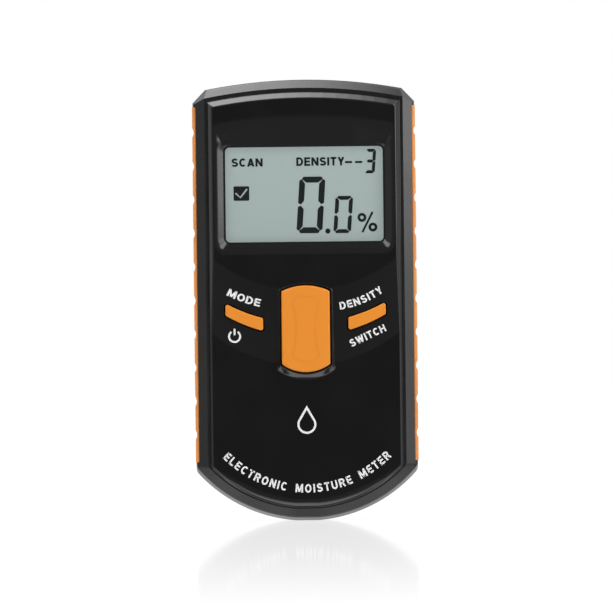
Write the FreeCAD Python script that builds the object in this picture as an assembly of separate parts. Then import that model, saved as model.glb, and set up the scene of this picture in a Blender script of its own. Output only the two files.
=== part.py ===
import FreeCAD, Part
import math
import os

# Handheld pinless moisture meter, in millimetres.
# X points right seen from the front, Y points from the face to the back, Z points up.
# The origin is under the lowest point of the case, midway through its width and depth.

# Overall case
HEIGHT = 140.0
SHELL_HALF_WIDTH = 35.2
GRIP_HALF_WIDTH = 35.4
TOP_RADIUS = 165.0
BOTTOM_RADIUS = 46.5
BOTTOM_FILLET = 2.6
FOOT_SINK = 0.15
WALL = 2.2
LINING = 0.2
CORNER_CUT_TOP = (31.2, 137.0)
CORNER_CUT_SIDE = (35.4, 132.6)
CORNER_CUT_SETBACK = 0.8

# Depth stations, from the face to the back
BUTTON_CROWN_Y = -15.0
PLATEAU_Y = -14.0
LOWER_FACE_Y = -12.9
WINDOW_Y = -12.7
RIM_Y = -11.8
PLATE_BACK_Y = -10.6
FRONT_EDGE_Y = -9.0
FLOOR_BACK_Y = -8.8
BOARD_FRONT_Y = -4.0
BOARD_BACK_Y = -2.4
PARTING_Y = 1.8
REAR_EDGE_Y = 10.2
REAR_INNER_Y = 11.2
REAR_FACE_Y = 13.2
SENSOR_FACE_Y = 15.0

# Front rim and raised face plate
RIM = (31.5, 137.3, 3.8)
EDGE_ROUND = 2.2
UNDER_BEVEL_RISE = 1.06
UNDER_BEVEL_Y = -5.0
REAR_RIM = (31.8, 136.6, 3.4)
REAR_FACE_ROUND = 1.3
PLATE_HALF_WIDTH = 30.6
PLATE_TOP = 136.0
PLATE_BOTTOM = 4.2
PLATE_CROWN_HALF_WIDTH = 29.1
PLATE_CROWN_TOP = 134.1
PLATE_CROWN_BOTTOM = 8.4
PLATE_ROUND = 0.7
PLATE_FIT = 0.1
SEAM_DEPTH = 0.35
SEAM_WIDTH = 0.5

# Sloping step across the lower face
STEP_RADIUS = 47.0
STEP_TOP = 73.2
STEP_DROP = 24.1

# Display
WINDOW_HALF_WIDTH = 25.0
WINDOW_BOTTOM = 88.5
WINDOW_TOP = 118.6
WINDOW_CORNER = 1.4
GASKET_WIDTH = 0.4
RECESS_HALF_WIDTH = 27.9
RECESS_BOTTOM = 85.5
RECESS_CORNER = 3.0
RECESS_SIDE_TOP = 121.9
SCOOP_HALF_WIDTH = 26.3
SCOOP_SIDE_TOP = 125.4
SCOOP_APEX = 127.6
SCOOP_CORNER_BULGE = 0.35

# Measure button
BUTTON_HALF_WIDTH = 7.65
BUTTON_TOP = 74.6
BUTTON_SHOULDER = 72.8
BUTTON_BOTTOM = 47.15
BUTTON_LOWER_CORNER = 49.7
BUTTON_CORNER = 0.6
BUTTON_ROUND = 0.6
BUTTON_GAP = 0.5
COLLAR_WIDTH = 0.35
COLLAR_RISE = 0.12
COLLAR_DRAFT = 1.75
COLLAR_SINK = 0.2

# Side keys, given for the right-hand one
KEY_INNER_X = 13.5
KEY_OUTER_X = 25.4
KEY_INNER_Z = (60.3, 64.4)
KEY_OUTER_Z = (65.3, 69.2)
KEY_SAG = 0.45
KEY_CORNER = 0.7
KEY_ROUND = 0.35
KEY_CROWN_Y = -14.3
KEY_GAP = 0.45
FLANGE = 1.2
FLANGE_THICKNESS = 1.1
FLANGE_FIT = 0.4
STEM_RADIUS = 1.8
STEM_END_Y = -8.2

# Switches under the button and the keys
SWITCH_BODY = 6.0
SWITCH_TOP_Y = -7.5
PLUNGER_RADIUS = 1.5
PLUNGER_FIT = 0.05
PLUNGER_END_Y = -6.1
SWITCH_BORE_END_Y = -5.1
SWITCH_PLACES = {"measure": (0.0, 61.0), "mode": (-19.5, 64.8), "density": (19.5, 64.8)}

# Side grips
GRIP_BOTTOM = 18.8
GRIP_TOP = 131.5
GRIP_INNER_X = 34.2
GRIP_TONGUE_X = 33.0
GRIP_TONGUE_Y = 8.0
GRIP_FRONT_Y = -9.4
GRIP_BACK_Y = 10.4
GRIP_ROUND = 0.8
SCALLOP_COUNT = 10
SCALLOP_FIRST_Z = 27.6
SCALLOP_PITCH = 10.65
SCALLOP_RADIUS = 2.5
SCALLOP_DEPTH = 0.5

# LCD stack
LCD_HALF_WIDTH = 27.0
LCD_BOTTOM = 86.6
LCD_TOP = 120.5
LCD_LEDGE = 2.6
LCD_FRAME_WALL = 1.5
LCD_FRAME_LIP = 2.0
LCD_FRAME_FIT = 0.2
LCD_GLASS_Y = (-10.5, -9.4, -8.3)
DIFFUSER_Y = (-8.3, -5.6)
LED_PLACES_X = (-14.0, 0.0, 14.0)
LED_HALF_WIDTH = 1.6
LED_Z = (101.5, 104.5)
CONNECTOR_HALF_LENGTH = 24.0

# Main board
BOARD_HALF_WIDTH = 28.4
BOARD_BOTTOM = 48.8
BOARD_TOP = 129.3
BOARD_CORNER = 1.0
BOARD_SCREWS = ((25.5, 126.4), (25.5, 52.2))
BOARD_BOSS_RADIUS = 2.3
BOARD_SCREW_RADIUS = 0.9
BOARD_SCREW_FIT = 0.1
BOARD_SCREW_HEAD_RADIUS = 1.7
BOARD_SCREW_HEAD_DEPTH = 1.2
BOARD_SCREW_TIP_Y = -7.5
BOARD_SCREW_HOLE_Y = -8.0

# Parts on the back of the main board
CHIP_PLACE = (2.0, 98.0)
CHIP_HALF_SIZE = 6.0
CHIP_DEPTH = 1.5
CHIP_CHAMFER = 0.25
CRYSTAL_HALF_LENGTH = 5.0
CRYSTAL_Z = (77.0, 81.5)
CRYSTAL_CORNER = 2.2
CRYSTAL_DEPTH = 3.4
CAPACITOR_PLACE = (-17.0, 62.0)
CAPACITOR_RADIUS = 2.5
CAPACITOR_DEPTH = 7.0
BUZZER_PLACE = (-17.0, 80.0)
BUZZER_RADIUS = 6.0
BUZZER_DEPTH = 5.5
BUZZER_HOLE_RADIUS = 1.0
BUZZER_HOLE_DEPTH = 2.5

# Case screws
CASE_SCREWS = ((20.0, 132.6), (27.6, 45.2))
CASE_BOSS_RADIUS = 2.8
CASE_SCREW_RADIUS = 1.2
CASE_HEAD_RADIUS = 2.2
CASE_HEAD_SEAT_Y = 9.4
CASE_HEAD_DEPTH = 1.6
CASE_HEAD_ROUND = 0.4
CASE_SCREW_TIP_Y = -5.5
CASE_SCREW_HOLE_Y = -6.5
CASE_SCREW_PASSAGE = 0.2
CROSS_REACH = 1.3
CROSS_HALF_WIDTH = 0.3
CROSS_DEPTH = 0.9
SCREW_FIT = 0.04

# Battery bay
BATTERY_LENGTH = 46.4
BATTERY_HEIGHT = 26.5
BATTERY_DEPTH = 17.5
BATTERY_LEFT_X = -24.2
BATTERY_BOTTOM = 12.0
BATTERY_BACK_Y = 11.1
BATTERY_ROUND = 2.0
TERMINAL_SPREAD = 6.35
TERMINAL_LENGTH = 2.1
TERMINAL_RADIUS = 2.9
SNAP_BOTTOM = 13.2
SNAP_TOP = 37.3
SNAP_HALF_DEPTH = 5.8
SNAP_THICKNESS = 4.4
SNAP_FIT = 0.1
LEAD_RADIUS = 0.6
LEAD_START_X = 24.2
LEAD_TURN = (23.3, 42.5)
LEAD_SLOPE = (0.8, 2.2, 49.0)
LEAD_BEND = (1.4, 53.5)
LEAD_END_Z = (55.0, 55.4)
LEAD_TRIM_X = (10.0, 30.0)
LEAD_TRIM_Y = 10.0
LEAD_TRIM_Z = (30.0, 70.0)
RED_LEAD = (0.6, 18.0)
BLACK_LEAD = (4.2, 21.0)
PAD_X = (-18.0, 16.0)
PAD_Z = (15.0, 35.0)
PARTITION_X = (-24.5, 17.0)
PARTITION_FRONT_Y = -1.0
PARTITION_Z = (40.6, 42.0)
DOOR_HALF_WIDTH = 27.0
DOOR_TOP = 40.0
DOOR_FRONT_Y = 8.0
DOOR_FIT = 0.1
DOOR_TONGUE = 1.0
DOOR_TONGUE_Y = (11.35, 12.05)
DOOR_TONGUE_Z = (12.0, 37.5)
GROOVE_COUNT = 5
GROOVE_FIRST_Z = 22.0
GROOVE_PITCH = 2.4
GROOVE_RADIUS = 0.9
GROOVE_HALF_LENGTH = 13.0

# Sensor on the back
SENSOR_HALF_WIDTH = 23.0
SENSOR_BOTTOM = 69.0
SENSOR_TOP = 121.0
SENSOR_CORNER = 5.0
SENSOR_WALL = 1.5
SENSOR_FIT = 0.1
SENSOR_EDGE_ROUND = 0.9
SENSOR_FLANGE = 1.6
SENSOR_FLANGE_THICKNESS = 1.2
SENSOR_POCKET_INSET = 2.5
ELECTRODE_X = (1.5, 18.5)
ELECTRODE_THICKNESS = 0.3
ELECTRODE_MARGIN = 5.0
SENSOR_BOARD_HALF_WIDTH = 19.5
SENSOR_BOARD_THICKNESS = 1.6
SENSOR_BOARD_MARGIN = 4.0
FOAM_X = (-18.0, -8.0)
FOAM_Z = (92.0, 108.0)
PIN_PLACES_X = (-3.81, -1.27, 1.27, 3.81)
PIN_HALF_WIDTH = 0.4
PIN_Z = 112.0
HEADER_HALF_LENGTH = 5.6
HEADER_HALF_HEIGHT = 1.6
HEADER_DEPTH = 6.0

# How far cutting shapes reach past the case, so that they clear it
CUT_SIDE_X = 40.0
CUT_HALF_DEPTH = 16.0
CUT_BACK_Y = 20.0
CUT_BELOW_Z = -5.0
CORNER_CUT_REACH = 20.0
STEP_CUT_LOW_Z = -30.0
PLATE_CUT_DEPTH = 6.0

# Telling edges apart
SAME_DEPTH = 0.01
FACE_OPENINGS_X = 15.0
FACE_OPENINGS_Z = (12.0, 130.0)
GRIP_LONG_EDGE = 50.0
GRIP_OUTER_MARGIN = 0.5
BATTERY_LONG_EDGE = 10.0


def vector(x, y, z):
    return FreeCAD.Vector(x, y, z)


def box(x0, x1, y0, y1, z0, z1):
    return Part.makeBox(x1 - x0, y1 - y0, z1 - z0, vector(x0, y0, z0))


def rod(x, z, radius, y0, y1):
    """A round bar along Y."""
    return Part.makeCylinder(radius, y1 - y0, vector(x, y0, z), vector(0, 1, 0))


def arc(start, middle, end, y):
    points = [vector(x, y, z) for x, z in (start, middle, end)]
    return Part.Arc(*points).toShape()


def line(start, end, y):
    return Part.makeLine(vector(start[0], y, start[1]), vector(end[0], y, end[1]))


def prism(wire, depth):
    return Part.Face(wire).extrude(vector(0, depth, 0))


def ruled(first, second):
    return Part.makeLoft([first, second], True, True)


def mirrored(shape):
    return shape.mirror(vector(0, 0, 0), vector(1, 0, 0))


def both_sides(shape):
    return shape.fuse(mirrored(shape))


def case_outline(half_width, top, bottom, y):
    """Straight sides, a shallow arc with sharp corners on top, and a deep arc below with soft corners
    and a short level foot."""
    fillet = BOTTOM_FILLET
    top_radius = TOP_RADIUS - (HEIGHT - top)
    corner_z = top - top_radius + math.sqrt(top_radius**2 - half_width**2)
    bottom_radius = BOTTOM_RADIUS - bottom + FOOT_SINK
    run = half_width - fillet
    drop = math.sqrt((bottom_radius - fillet) ** 2 - run**2)
    side_z = BOTTOM_RADIUS - drop
    stretch = bottom_radius / (bottom_radius - fillet)
    join = (run * stretch, BOTTOM_RADIUS - drop * stretch)
    half_turn = math.atan2(drop, run) / 2
    middle = (run + fillet * math.cos(half_turn), side_z - fillet * math.sin(half_turn))
    foot_turn = math.acos(1 - FOOT_SINK / bottom_radius)
    low_turn = (math.asin(join[0] / bottom_radius) + foot_turn) / 2
    foot = (bottom_radius * math.sin(foot_turn), bottom)
    low_middle = (
        bottom_radius * math.sin(low_turn), BOTTOM_RADIUS - bottom_radius * math.cos(low_turn)
    )

    def left(point):
        return (-point[0], point[1])

    corner = (half_width, corner_z)
    side = (half_width, side_z)
    edges = [
        arc(left(corner), (0, top), corner, y),
        line(corner, side, y),
        arc(side, middle, join, y),
        arc(join, low_middle, foot, y),
        line(foot, left(foot), y),
        arc(left(foot), left(low_middle), left(join), y),
        arc(left(join), left(middle), left(side), y),
        line(left(side), left(corner), y),
    ]
    return Part.Wire(edges)


def inset_outline(inset, y):
    return case_outline(SHELL_HALF_WIDTH - inset, HEIGHT - inset, inset, y)


def rounded_rectangle(half_width, bottom, top, radius, y):
    low = bottom + radius
    high = top - radius
    inner = half_width - radius
    diagonal = radius * math.sqrt(0.5)
    edges = [
        line((-inner, top), (inner, top), y),
        arc((inner, top), (inner + diagonal, high + diagonal), (half_width, high), y),
        line((half_width, high), (half_width, low), y),
        arc((half_width, low), (inner + diagonal, low - diagonal), (inner, bottom), y),
        line((inner, bottom), (-inner, bottom), y),
        arc((-inner, bottom), (-inner - diagonal, low - diagonal), (-half_width, low), y),
        line((-half_width, low), (-half_width, high), y),
        arc((-half_width, high), (-inner - diagonal, high + diagonal), (-inner, top), y),
    ]
    return Part.Wire(edges)


def edges_at(shape, y, keep=lambda edge: True):
    """Edges that lie wholly at one depth."""
    found = []
    for edge in shape.Edges:
        limits = edge.BoundBox
        if abs(limits.YMin - y) < SAME_DEPTH and abs(limits.YMax - y) < SAME_DEPTH and keep(edge):
            found.append(edge)
    return found


def corner_wedge(edge_y, face_y, rim):
    """What is cut off the two top corners: an upright plane and, from the rim in, a sloping facet."""
    top = vector(CORNER_CUT_TOP[0], 0, CORNER_CUT_TOP[1])
    along = vector(CORNER_CUT_SIDE[0], 0, CORNER_CUT_SIDE[1]).sub(top)
    along.normalize()
    outward = vector(-along.z, 0, along.x)
    half_width = rim[0]
    radius = TOP_RADIUS - HEIGHT + rim[1]
    corner_z = HEIGHT - TOP_RADIUS + math.sqrt(radius**2 - half_width**2)
    inner = vector(half_width, 0, corner_z).sub(top).dot(outward)
    reach = CORNER_CUT_REACH
    past_face = face_y + math.copysign(reach, face_y)
    past_seam = -math.copysign(3, face_y)
    corners = [
        (0, past_seam), (0, edge_y), (inner, face_y),
        (inner, past_face), (reach, past_face), (reach, past_seam),
    ]
    start = top.sub(along * reach)
    points = []
    for out, depth in corners + corners[:1]:
        points.append(start.add(outward * out).add(vector(0, depth, 0)))
    wedge = Part.Face(Part.makePolygon(points)).extrude(along * (3 * reach))
    return both_sides(wedge)


def grip_recess():
    outer = box(GRIP_INNER_X, CUT_SIDE_X, -CUT_HALF_DEPTH, CUT_HALF_DEPTH, GRIP_BOTTOM, GRIP_TOP)
    tongue = box(GRIP_TONGUE_X, CUT_SIDE_X, -GRIP_TONGUE_Y, GRIP_TONGUE_Y, GRIP_BOTTOM, GRIP_TOP)
    return both_sides(outer.fuse(tongue))


def cavity(y0, y1):
    inset = WALL + LINING
    outline = case_outline(SHELL_HALF_WIDTH - 2 * WALL + LINING, HEIGHT - inset, inset, y0)
    return prism(outline, y1 - y0)


def button_outline(y):
    corner = (BUTTON_HALF_WIDTH, BUTTON_SHOULDER)
    lower = (BUTTON_HALF_WIDTH, BUTTON_LOWER_CORNER)
    edges = [
        arc((-corner[0], corner[1]), (0, BUTTON_TOP), corner, y),
        line(corner, lower, y),
        arc(lower, (0, BUTTON_BOTTOM), (-lower[0], lower[1]), y),
        line((-lower[0], lower[1]), (-corner[0], corner[1]), y),
    ]
    return Part.Wire(edges)


def key_outline(y):
    """The right-hand key: a short curved bar that rises outwards."""
    inner_low = (KEY_INNER_X, KEY_INNER_Z[0])
    inner_high = (KEY_INNER_X, KEY_INNER_Z[1])
    outer_low = (KEY_OUTER_X, KEY_OUTER_Z[0])
    outer_high = (KEY_OUTER_X, KEY_OUTER_Z[1])
    middle_x = (KEY_INNER_X + KEY_OUTER_X) / 2
    high_middle = (middle_x, (inner_high[1] + outer_high[1]) / 2 - KEY_SAG)
    low_middle = (middle_x, (inner_low[1] + outer_low[1]) / 2 - KEY_SAG)
    edges = [
        arc(inner_high, high_middle, outer_high, y),
        line(outer_high, outer_low, y),
        arc(outer_low, low_middle, inner_low, y),
        line(inner_low, inner_high, y),
    ]
    return Part.Wire(edges)


def grown(wire, amount):
    """The outline moved outwards, with round corners."""
    return wire.makeOffset2D(amount, 0)


def softened(wire, radius):
    """The outline with its corners rounded."""
    return wire.makeOffset2D(-radius, 2).makeOffset2D(radius, 0)


def button_cap_outline(y):
    return softened(button_outline(y), BUTTON_CORNER)


def key_cap_outline(y):
    return softened(key_outline(y), KEY_CORNER)


def floor_openings():
    """Openings in the floor of the front shell, behind the display, the button and the keys."""
    depth = FLOOR_BACK_Y - PLATE_BACK_Y + 2
    start = PLATE_BACK_Y - 1
    margin = LCD_FRAME_WALL + LCD_FRAME_FIT
    side = LCD_HALF_WIDTH + margin
    display = box(-side, side, start, start + depth, LCD_BOTTOM - margin, LCD_TOP + margin)
    reach = FLANGE + FLANGE_FIT
    button = prism(grown(button_outline(start), reach), depth)
    key = prism(grown(key_outline(start), reach), depth)
    return display.fuse([button, both_sides(key)])


def mirrored_rods(places, radius, y0, y1):
    bars = []
    for x, z in places:
        bars.append(rod(x, z, radius, y0, y1))
        bars.append(rod(-x, z, radius, y0, y1))
    return bars[0].fuse(bars[1:])


def make_front_shell():
    sides = prism(inset_outline(0, UNDER_BEVEL_Y), PARTING_Y - UNDER_BEVEL_Y)
    front_edge = case_outline(SHELL_HALF_WIDTH, HEIGHT, UNDER_BEVEL_RISE, FRONT_EDGE_Y)
    under_bevel = ruled(front_edge, inset_outline(0, UNDER_BEVEL_Y))
    band = ruled(front_edge, case_outline(*RIM, RIM_Y))
    shell = sides.fuse([under_bevel, band]).removeSplitter()
    shell = shell.makeFillet(EDGE_ROUND, edges_at(shell, FRONT_EDGE_Y))
    shell = shell.cut(corner_wedge(FRONT_EDGE_Y + CORNER_CUT_SETBACK, RIM_Y, RIM))
    pocket = case_outline(
        PLATE_HALF_WIDTH + PLATE_FIT, PLATE_TOP + PLATE_FIT, PLATE_BOTTOM - PLATE_FIT, RIM_Y - 2
    )
    shell = shell.cut(prism(pocket, PLATE_BACK_Y - RIM_Y + 2))
    shell = shell.cut(cavity(FLOOR_BACK_Y, PARTING_Y + 1))
    bosses = mirrored_rods(CASE_SCREWS, CASE_BOSS_RADIUS, FLOOR_BACK_Y, PARTING_Y)
    bosses = bosses.fuse(mirrored_rods(BOARD_SCREWS, BOARD_BOSS_RADIUS, FLOOR_BACK_Y, BOARD_FRONT_Y))
    shell = shell.fuse(bosses)
    case_hole = CASE_SCREW_RADIUS + SCREW_FIT
    shell = shell.cut(mirrored_rods(CASE_SCREWS, case_hole, CASE_SCREW_HOLE_Y, PARTING_Y))
    board_hole = BOARD_SCREW_RADIUS + SCREW_FIT
    shell = shell.cut(mirrored_rods(BOARD_SCREWS, board_hole, BOARD_SCREW_HOLE_Y, BOARD_FRONT_Y))
    shell = shell.cut(floor_openings())
    return shell.cut(grip_recess()).removeSplitter()


def door_zone(fit):
    """The piece of the back that slides off downwards, with the tongues at its sides."""
    half = DOOR_HALF_WIDTH + fit
    zone = box(-half, half, DOOR_FRONT_Y - fit, CUT_BACK_Y, CUT_BELOW_Z, DOOR_TOP + fit)
    reach = half + DOOR_TONGUE
    low = CUT_BELOW_Z if fit > 0 else DOOR_TONGUE_Z[0]
    tongues = box(
        -reach, reach, DOOR_TONGUE_Y[0] - fit, DOOR_TONGUE_Y[1] + fit, low, DOOR_TONGUE_Z[1] + fit
    )
    return zone, tongues


def rear_block():
    """The rear half of the case as one solid block."""
    seam = prism(inset_outline(SEAM_DEPTH, PARTING_Y), SEAM_WIDTH)
    start = PARTING_Y + SEAM_WIDTH
    sides = prism(inset_outline(0, start), REAR_EDGE_Y - start)
    band = ruled(inset_outline(0, REAR_EDGE_Y), case_outline(*REAR_RIM, REAR_FACE_Y))
    block = sides.fuse(band).removeSplitter()
    block = block.makeFillet(EDGE_ROUND, edges_at(block, REAR_EDGE_Y))
    block = block.makeFillet(REAR_FACE_ROUND, edges_at(block, REAR_FACE_Y))
    block = block.fuse(seam)
    return block.cut(corner_wedge(REAR_EDGE_Y - CORNER_CUT_SETBACK, REAR_FACE_Y, REAR_RIM))


def sensor_outline(margin, y):
    return rounded_rectangle(
        SENSOR_HALF_WIDTH + margin, SENSOR_BOTTOM - margin, SENSOR_TOP + margin, SENSOR_CORNER + margin, y
    )


def make_rear_shell():
    shell = rear_block().cut(cavity(PARTING_Y - 1, REAR_INNER_Y))
    bosses = mirrored_rods(CASE_SCREWS, CASE_BOSS_RADIUS, PARTING_Y, REAR_INNER_Y)
    partition = box(*PARTITION_X, PARTITION_FRONT_Y, REAR_INNER_Y, *PARTITION_Z)
    shell = shell.fuse([bosses, partition])
    passage = CASE_SCREW_RADIUS + CASE_SCREW_PASSAGE
    shell = shell.cut(mirrored_rods(CASE_SCREWS, passage, PARTING_Y - 1, REAR_FACE_Y + 1))
    counterbore = CASE_HEAD_RADIUS + CASE_SCREW_PASSAGE
    shell = shell.cut(mirrored_rods(CASE_SCREWS, counterbore, CASE_HEAD_SEAT_Y, REAR_FACE_Y + 1))
    shell = shell.cut(prism(sensor_outline(SENSOR_FIT, REAR_INNER_Y - 1), REAR_FACE_Y - REAR_INNER_Y + 2))
    zone, tongues = door_zone(DOOR_FIT)
    return shell.cut([zone, tongues, grip_recess()]).removeSplitter()


def make_battery_door():
    zone, tongues = door_zone(0)
    skin = rear_block().cut(cavity(PARTING_Y - 1, REAR_INNER_Y))
    door = skin.common(zone).fuse(tongues)
    for row in range(GROOVE_COUNT):
        start = vector(-GROOVE_HALF_LENGTH, REAR_FACE_Y + 0.5, GROOVE_FIRST_Z + GROOVE_PITCH * row)
        groove = Part.makeCylinder(GROOVE_RADIUS, 2 * GROOVE_HALF_LENGTH, start, vector(1, 0, 0))
        door = door.cut(groove)
    return door.removeSplitter()


def recess_cutter():
    """Display recess: steep walls at the sides and below, and a long shallow scoop above."""
    floor_half = WINDOW_HALF_WIDTH + GASKET_WIDTH
    floor_wire = rounded_rectangle(
        floor_half, WINDOW_BOTTOM - GASKET_WIDTH, WINDOW_TOP + GASKET_WIDTH,
        WINDOW_CORNER + GASKET_WIDTH, WINDOW_Y,
    )
    radius = RECESS_CORNER
    inner = RECESS_HALF_WIDTH - radius
    low = RECESS_BOTTOM + radius
    diagonal = radius * math.sqrt(0.5)
    scoop = (SCOOP_HALF_WIDTH, SCOOP_SIDE_TOP)
    side_top = (RECESS_HALF_WIDTH, RECESS_SIDE_TOP)
    side_low = (RECESS_HALF_WIDTH, low)
    round_middle = (inner + diagonal, low - diagonal)
    floor_end = (inner, RECESS_BOTTOM)
    corner_middle = (
        (scoop[0] + side_top[0]) / 2 + SCOOP_CORNER_BULGE, (scoop[1] + side_top[1]) / 2 + SCOOP_CORNER_BULGE
    )

    def left(point):
        return (-point[0], point[1])

    y = PLATEAU_Y
    edges = [
        arc(left(scoop), (0, SCOOP_APEX), scoop, y),
        arc(scoop, corner_middle, side_top, y),
        line(side_top, side_low, y),
        arc(side_low, round_middle, floor_end, y),
        line(floor_end, left(floor_end), y),
        arc(left(floor_end), left(round_middle), left(side_low), y),
        line(left(side_low), left(side_top), y),
        arc(left(side_top), left(corner_middle), left(scoop), y),
    ]
    return ruled(floor_wire, Part.Wire(edges))


def step_cutter():
    """What the lower face drops by: a slope under a wide arc, then a lower level."""
    centre = STEP_TOP + STEP_RADIUS
    reach = CUT_SIDE_X
    end_z = centre - math.sqrt(STEP_RADIUS**2 - reach**2)
    edges = [
        arc((-reach, end_z), (0, STEP_TOP), (reach, end_z), PLATEAU_Y),
        line((reach, end_z), (reach, STEP_CUT_LOW_Z), PLATEAU_Y),
        line((reach, STEP_CUT_LOW_Z), (-reach, STEP_CUT_LOW_Z), PLATEAU_Y),
        line((-reach, STEP_CUT_LOW_Z), (-reach, end_z), PLATEAU_Y),
    ]
    face = Part.Face(Part.Wire(edges))
    slope = face.extrude(vector(0, LOWER_FACE_Y - PLATEAU_Y, -STEP_DROP))
    return slope.fuse(face.extrude(vector(0, -3, 0)))


def crown_edges(plate):
    """The outer edges of the raised face, at whichever level they run."""
    found = []
    for edge in plate.Edges:
        limits = edge.BoundBox
        raised = limits.YMax < LOWER_FACE_Y + SAME_DEPTH
        centre = edge.CenterOfMass
        low_z, high_z = FACE_OPENINGS_Z
        inside = abs(centre.x) < FACE_OPENINGS_X and low_z < centre.z < high_z
        if raised and not inside:
            found.append(edge)
    return found


def make_face_plate():
    base = case_outline(PLATE_HALF_WIDTH, PLATE_TOP, PLATE_BOTTOM, PLATE_BACK_Y)
    plate = prism(base, RIM_Y - PLATE_BACK_Y)
    foot = case_outline(PLATE_HALF_WIDTH, PLATE_TOP, PLATE_BOTTOM, RIM_Y)
    crown = case_outline(PLATE_CROWN_HALF_WIDTH, PLATE_CROWN_TOP, PLATE_CROWN_BOTTOM, PLATEAU_Y)
    plate = plate.fuse(ruled(foot, crown))
    plate = plate.cut(step_cutter()).removeSplitter()
    plate = plate.makeFillet(PLATE_ROUND, crown_edges(plate))
    collar_top = PLATEAU_Y - COLLAR_RISE
    collar = ruled(
        grown(button_outline(LOWER_FACE_Y + COLLAR_SINK), BUTTON_GAP + COLLAR_WIDTH + COLLAR_DRAFT),
        grown(button_outline(collar_top), BUTTON_GAP + COLLAR_WIDTH),
    )
    plate = plate.fuse(collar)
    plate = plate.cut(recess_cutter())
    hole = rounded_rectangle(
        WINDOW_HALF_WIDTH + GASKET_WIDTH, WINDOW_BOTTOM - GASKET_WIDTH, WINDOW_TOP + GASKET_WIDTH,
        WINDOW_CORNER + GASKET_WIDTH, BUTTON_CROWN_Y,
    )
    plate = plate.cut(prism(hole, PLATE_CUT_DEPTH))
    plate = plate.cut(prism(grown(button_outline(BUTTON_CROWN_Y), BUTTON_GAP), PLATE_CUT_DEPTH))
    key_hole = prism(grown(key_cap_outline(BUTTON_CROWN_Y), KEY_GAP), PLATE_CUT_DEPTH)
    return plate.cut(both_sides(key_hole)).removeSplitter()


def make_display_window():
    outline = rounded_rectangle(WINDOW_HALF_WIDTH, WINDOW_BOTTOM, WINDOW_TOP, WINDOW_CORNER, WINDOW_Y)
    return prism(outline, PLATE_BACK_Y - WINDOW_Y)


def make_window_gasket():
    outer = rounded_rectangle(
        WINDOW_HALF_WIDTH + GASKET_WIDTH, WINDOW_BOTTOM - GASKET_WIDTH, WINDOW_TOP + GASKET_WIDTH,
        WINDOW_CORNER + GASKET_WIDTH, WINDOW_Y,
    )
    return prism(outer, PLATE_BACK_Y - WINDOW_Y).cut(make_display_window())


def make_lcd_glass():
    front_y, middle_y, back_y = LCD_GLASS_Y
    front = box(-LCD_HALF_WIDTH, LCD_HALF_WIDTH, front_y, middle_y, LCD_BOTTOM, LCD_TOP)
    back = box(-LCD_HALF_WIDTH, LCD_HALF_WIDTH, middle_y, back_y, LCD_BOTTOM + LCD_LEDGE, LCD_TOP)
    return front.fuse(back).removeSplitter()


def make_lcd_frame():
    side = LCD_HALF_WIDTH + LCD_FRAME_WALL
    bottom = LCD_BOTTOM - LCD_FRAME_WALL
    top = LCD_TOP + LCD_FRAME_WALL
    half = LCD_HALF_WIDTH
    frame = box(-side, side, PLATE_BACK_Y, BOARD_FRONT_Y, bottom, top)
    frame = frame.cut(box(-half, half, PLATE_BACK_Y, BOARD_FRONT_Y, LCD_BOTTOM, LCD_TOP))
    shelf_bottom = LCD_BOTTOM + LCD_LEDGE
    shelf = box(-half, half, DIFFUSER_Y[1], BOARD_FRONT_Y, shelf_bottom, LCD_TOP)
    opening = half - LCD_FRAME_LIP
    window = box(
        -opening, opening, DIFFUSER_Y[1], BOARD_FRONT_Y, shelf_bottom + LCD_FRAME_LIP, LCD_TOP - LCD_FRAME_LIP
    )
    return frame.fuse(shelf.cut(window)).removeSplitter()


def make_backlight_diffuser():
    return box(-LCD_HALF_WIDTH, LCD_HALF_WIDTH, *DIFFUSER_Y, LCD_BOTTOM + LCD_LEDGE, LCD_TOP)


def make_backlight_leds():
    leds = []
    for x in LED_PLACES_X:
        leds.append(box(x - LED_HALF_WIDTH, x + LED_HALF_WIDTH, DIFFUSER_Y[1], BOARD_FRONT_Y, *LED_Z))
    return Part.makeCompound(leds)


def make_lcd_connector():
    half = CONNECTOR_HALF_LENGTH
    bottom = LCD_BOTTOM + LCD_FRAME_FIT
    top = LCD_BOTTOM + LCD_LEDGE - LCD_FRAME_FIT
    return box(-half, half, LCD_GLASS_Y[1], BOARD_FRONT_Y, bottom, top)


def make_main_board():
    board = box(-BOARD_HALF_WIDTH, BOARD_HALF_WIDTH, BOARD_FRONT_Y, BOARD_BACK_Y, BOARD_BOTTOM, BOARD_TOP)
    upright = [edge for edge in board.Edges if edge.BoundBox.YLength > 1]
    board = board.makeFillet(BOARD_CORNER, upright)
    radius = BOARD_SCREW_RADIUS + BOARD_SCREW_FIT
    holes = mirrored_rods(BOARD_SCREWS, radius, BOARD_FRONT_Y - 1, BOARD_BACK_Y + 1)
    return board.cut(holes)


def make_microcontroller():
    x, z = CHIP_PLACE
    half = CHIP_HALF_SIZE
    back = BOARD_BACK_Y + CHIP_DEPTH
    chip = box(x - half, x + half, BOARD_BACK_Y, back, z - half, z + half)
    return chip.makeChamfer(CHIP_CHAMFER, edges_at(chip, back))


def make_crystal():
    can = rounded_rectangle(CRYSTAL_HALF_LENGTH, *CRYSTAL_Z, CRYSTAL_CORNER, BOARD_BACK_Y)
    return prism(can, CRYSTAL_DEPTH)


def make_capacitor():
    return rod(*CAPACITOR_PLACE, CAPACITOR_RADIUS, BOARD_BACK_Y, BOARD_BACK_Y + CAPACITOR_DEPTH)


def make_buzzer():
    back = BOARD_BACK_Y + BUZZER_DEPTH
    drum = rod(*BUZZER_PLACE, BUZZER_RADIUS, BOARD_BACK_Y, back)
    return drum.cut(rod(*BUZZER_PLACE, BUZZER_HOLE_RADIUS, back - BUZZER_HOLE_DEPTH, back))


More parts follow.
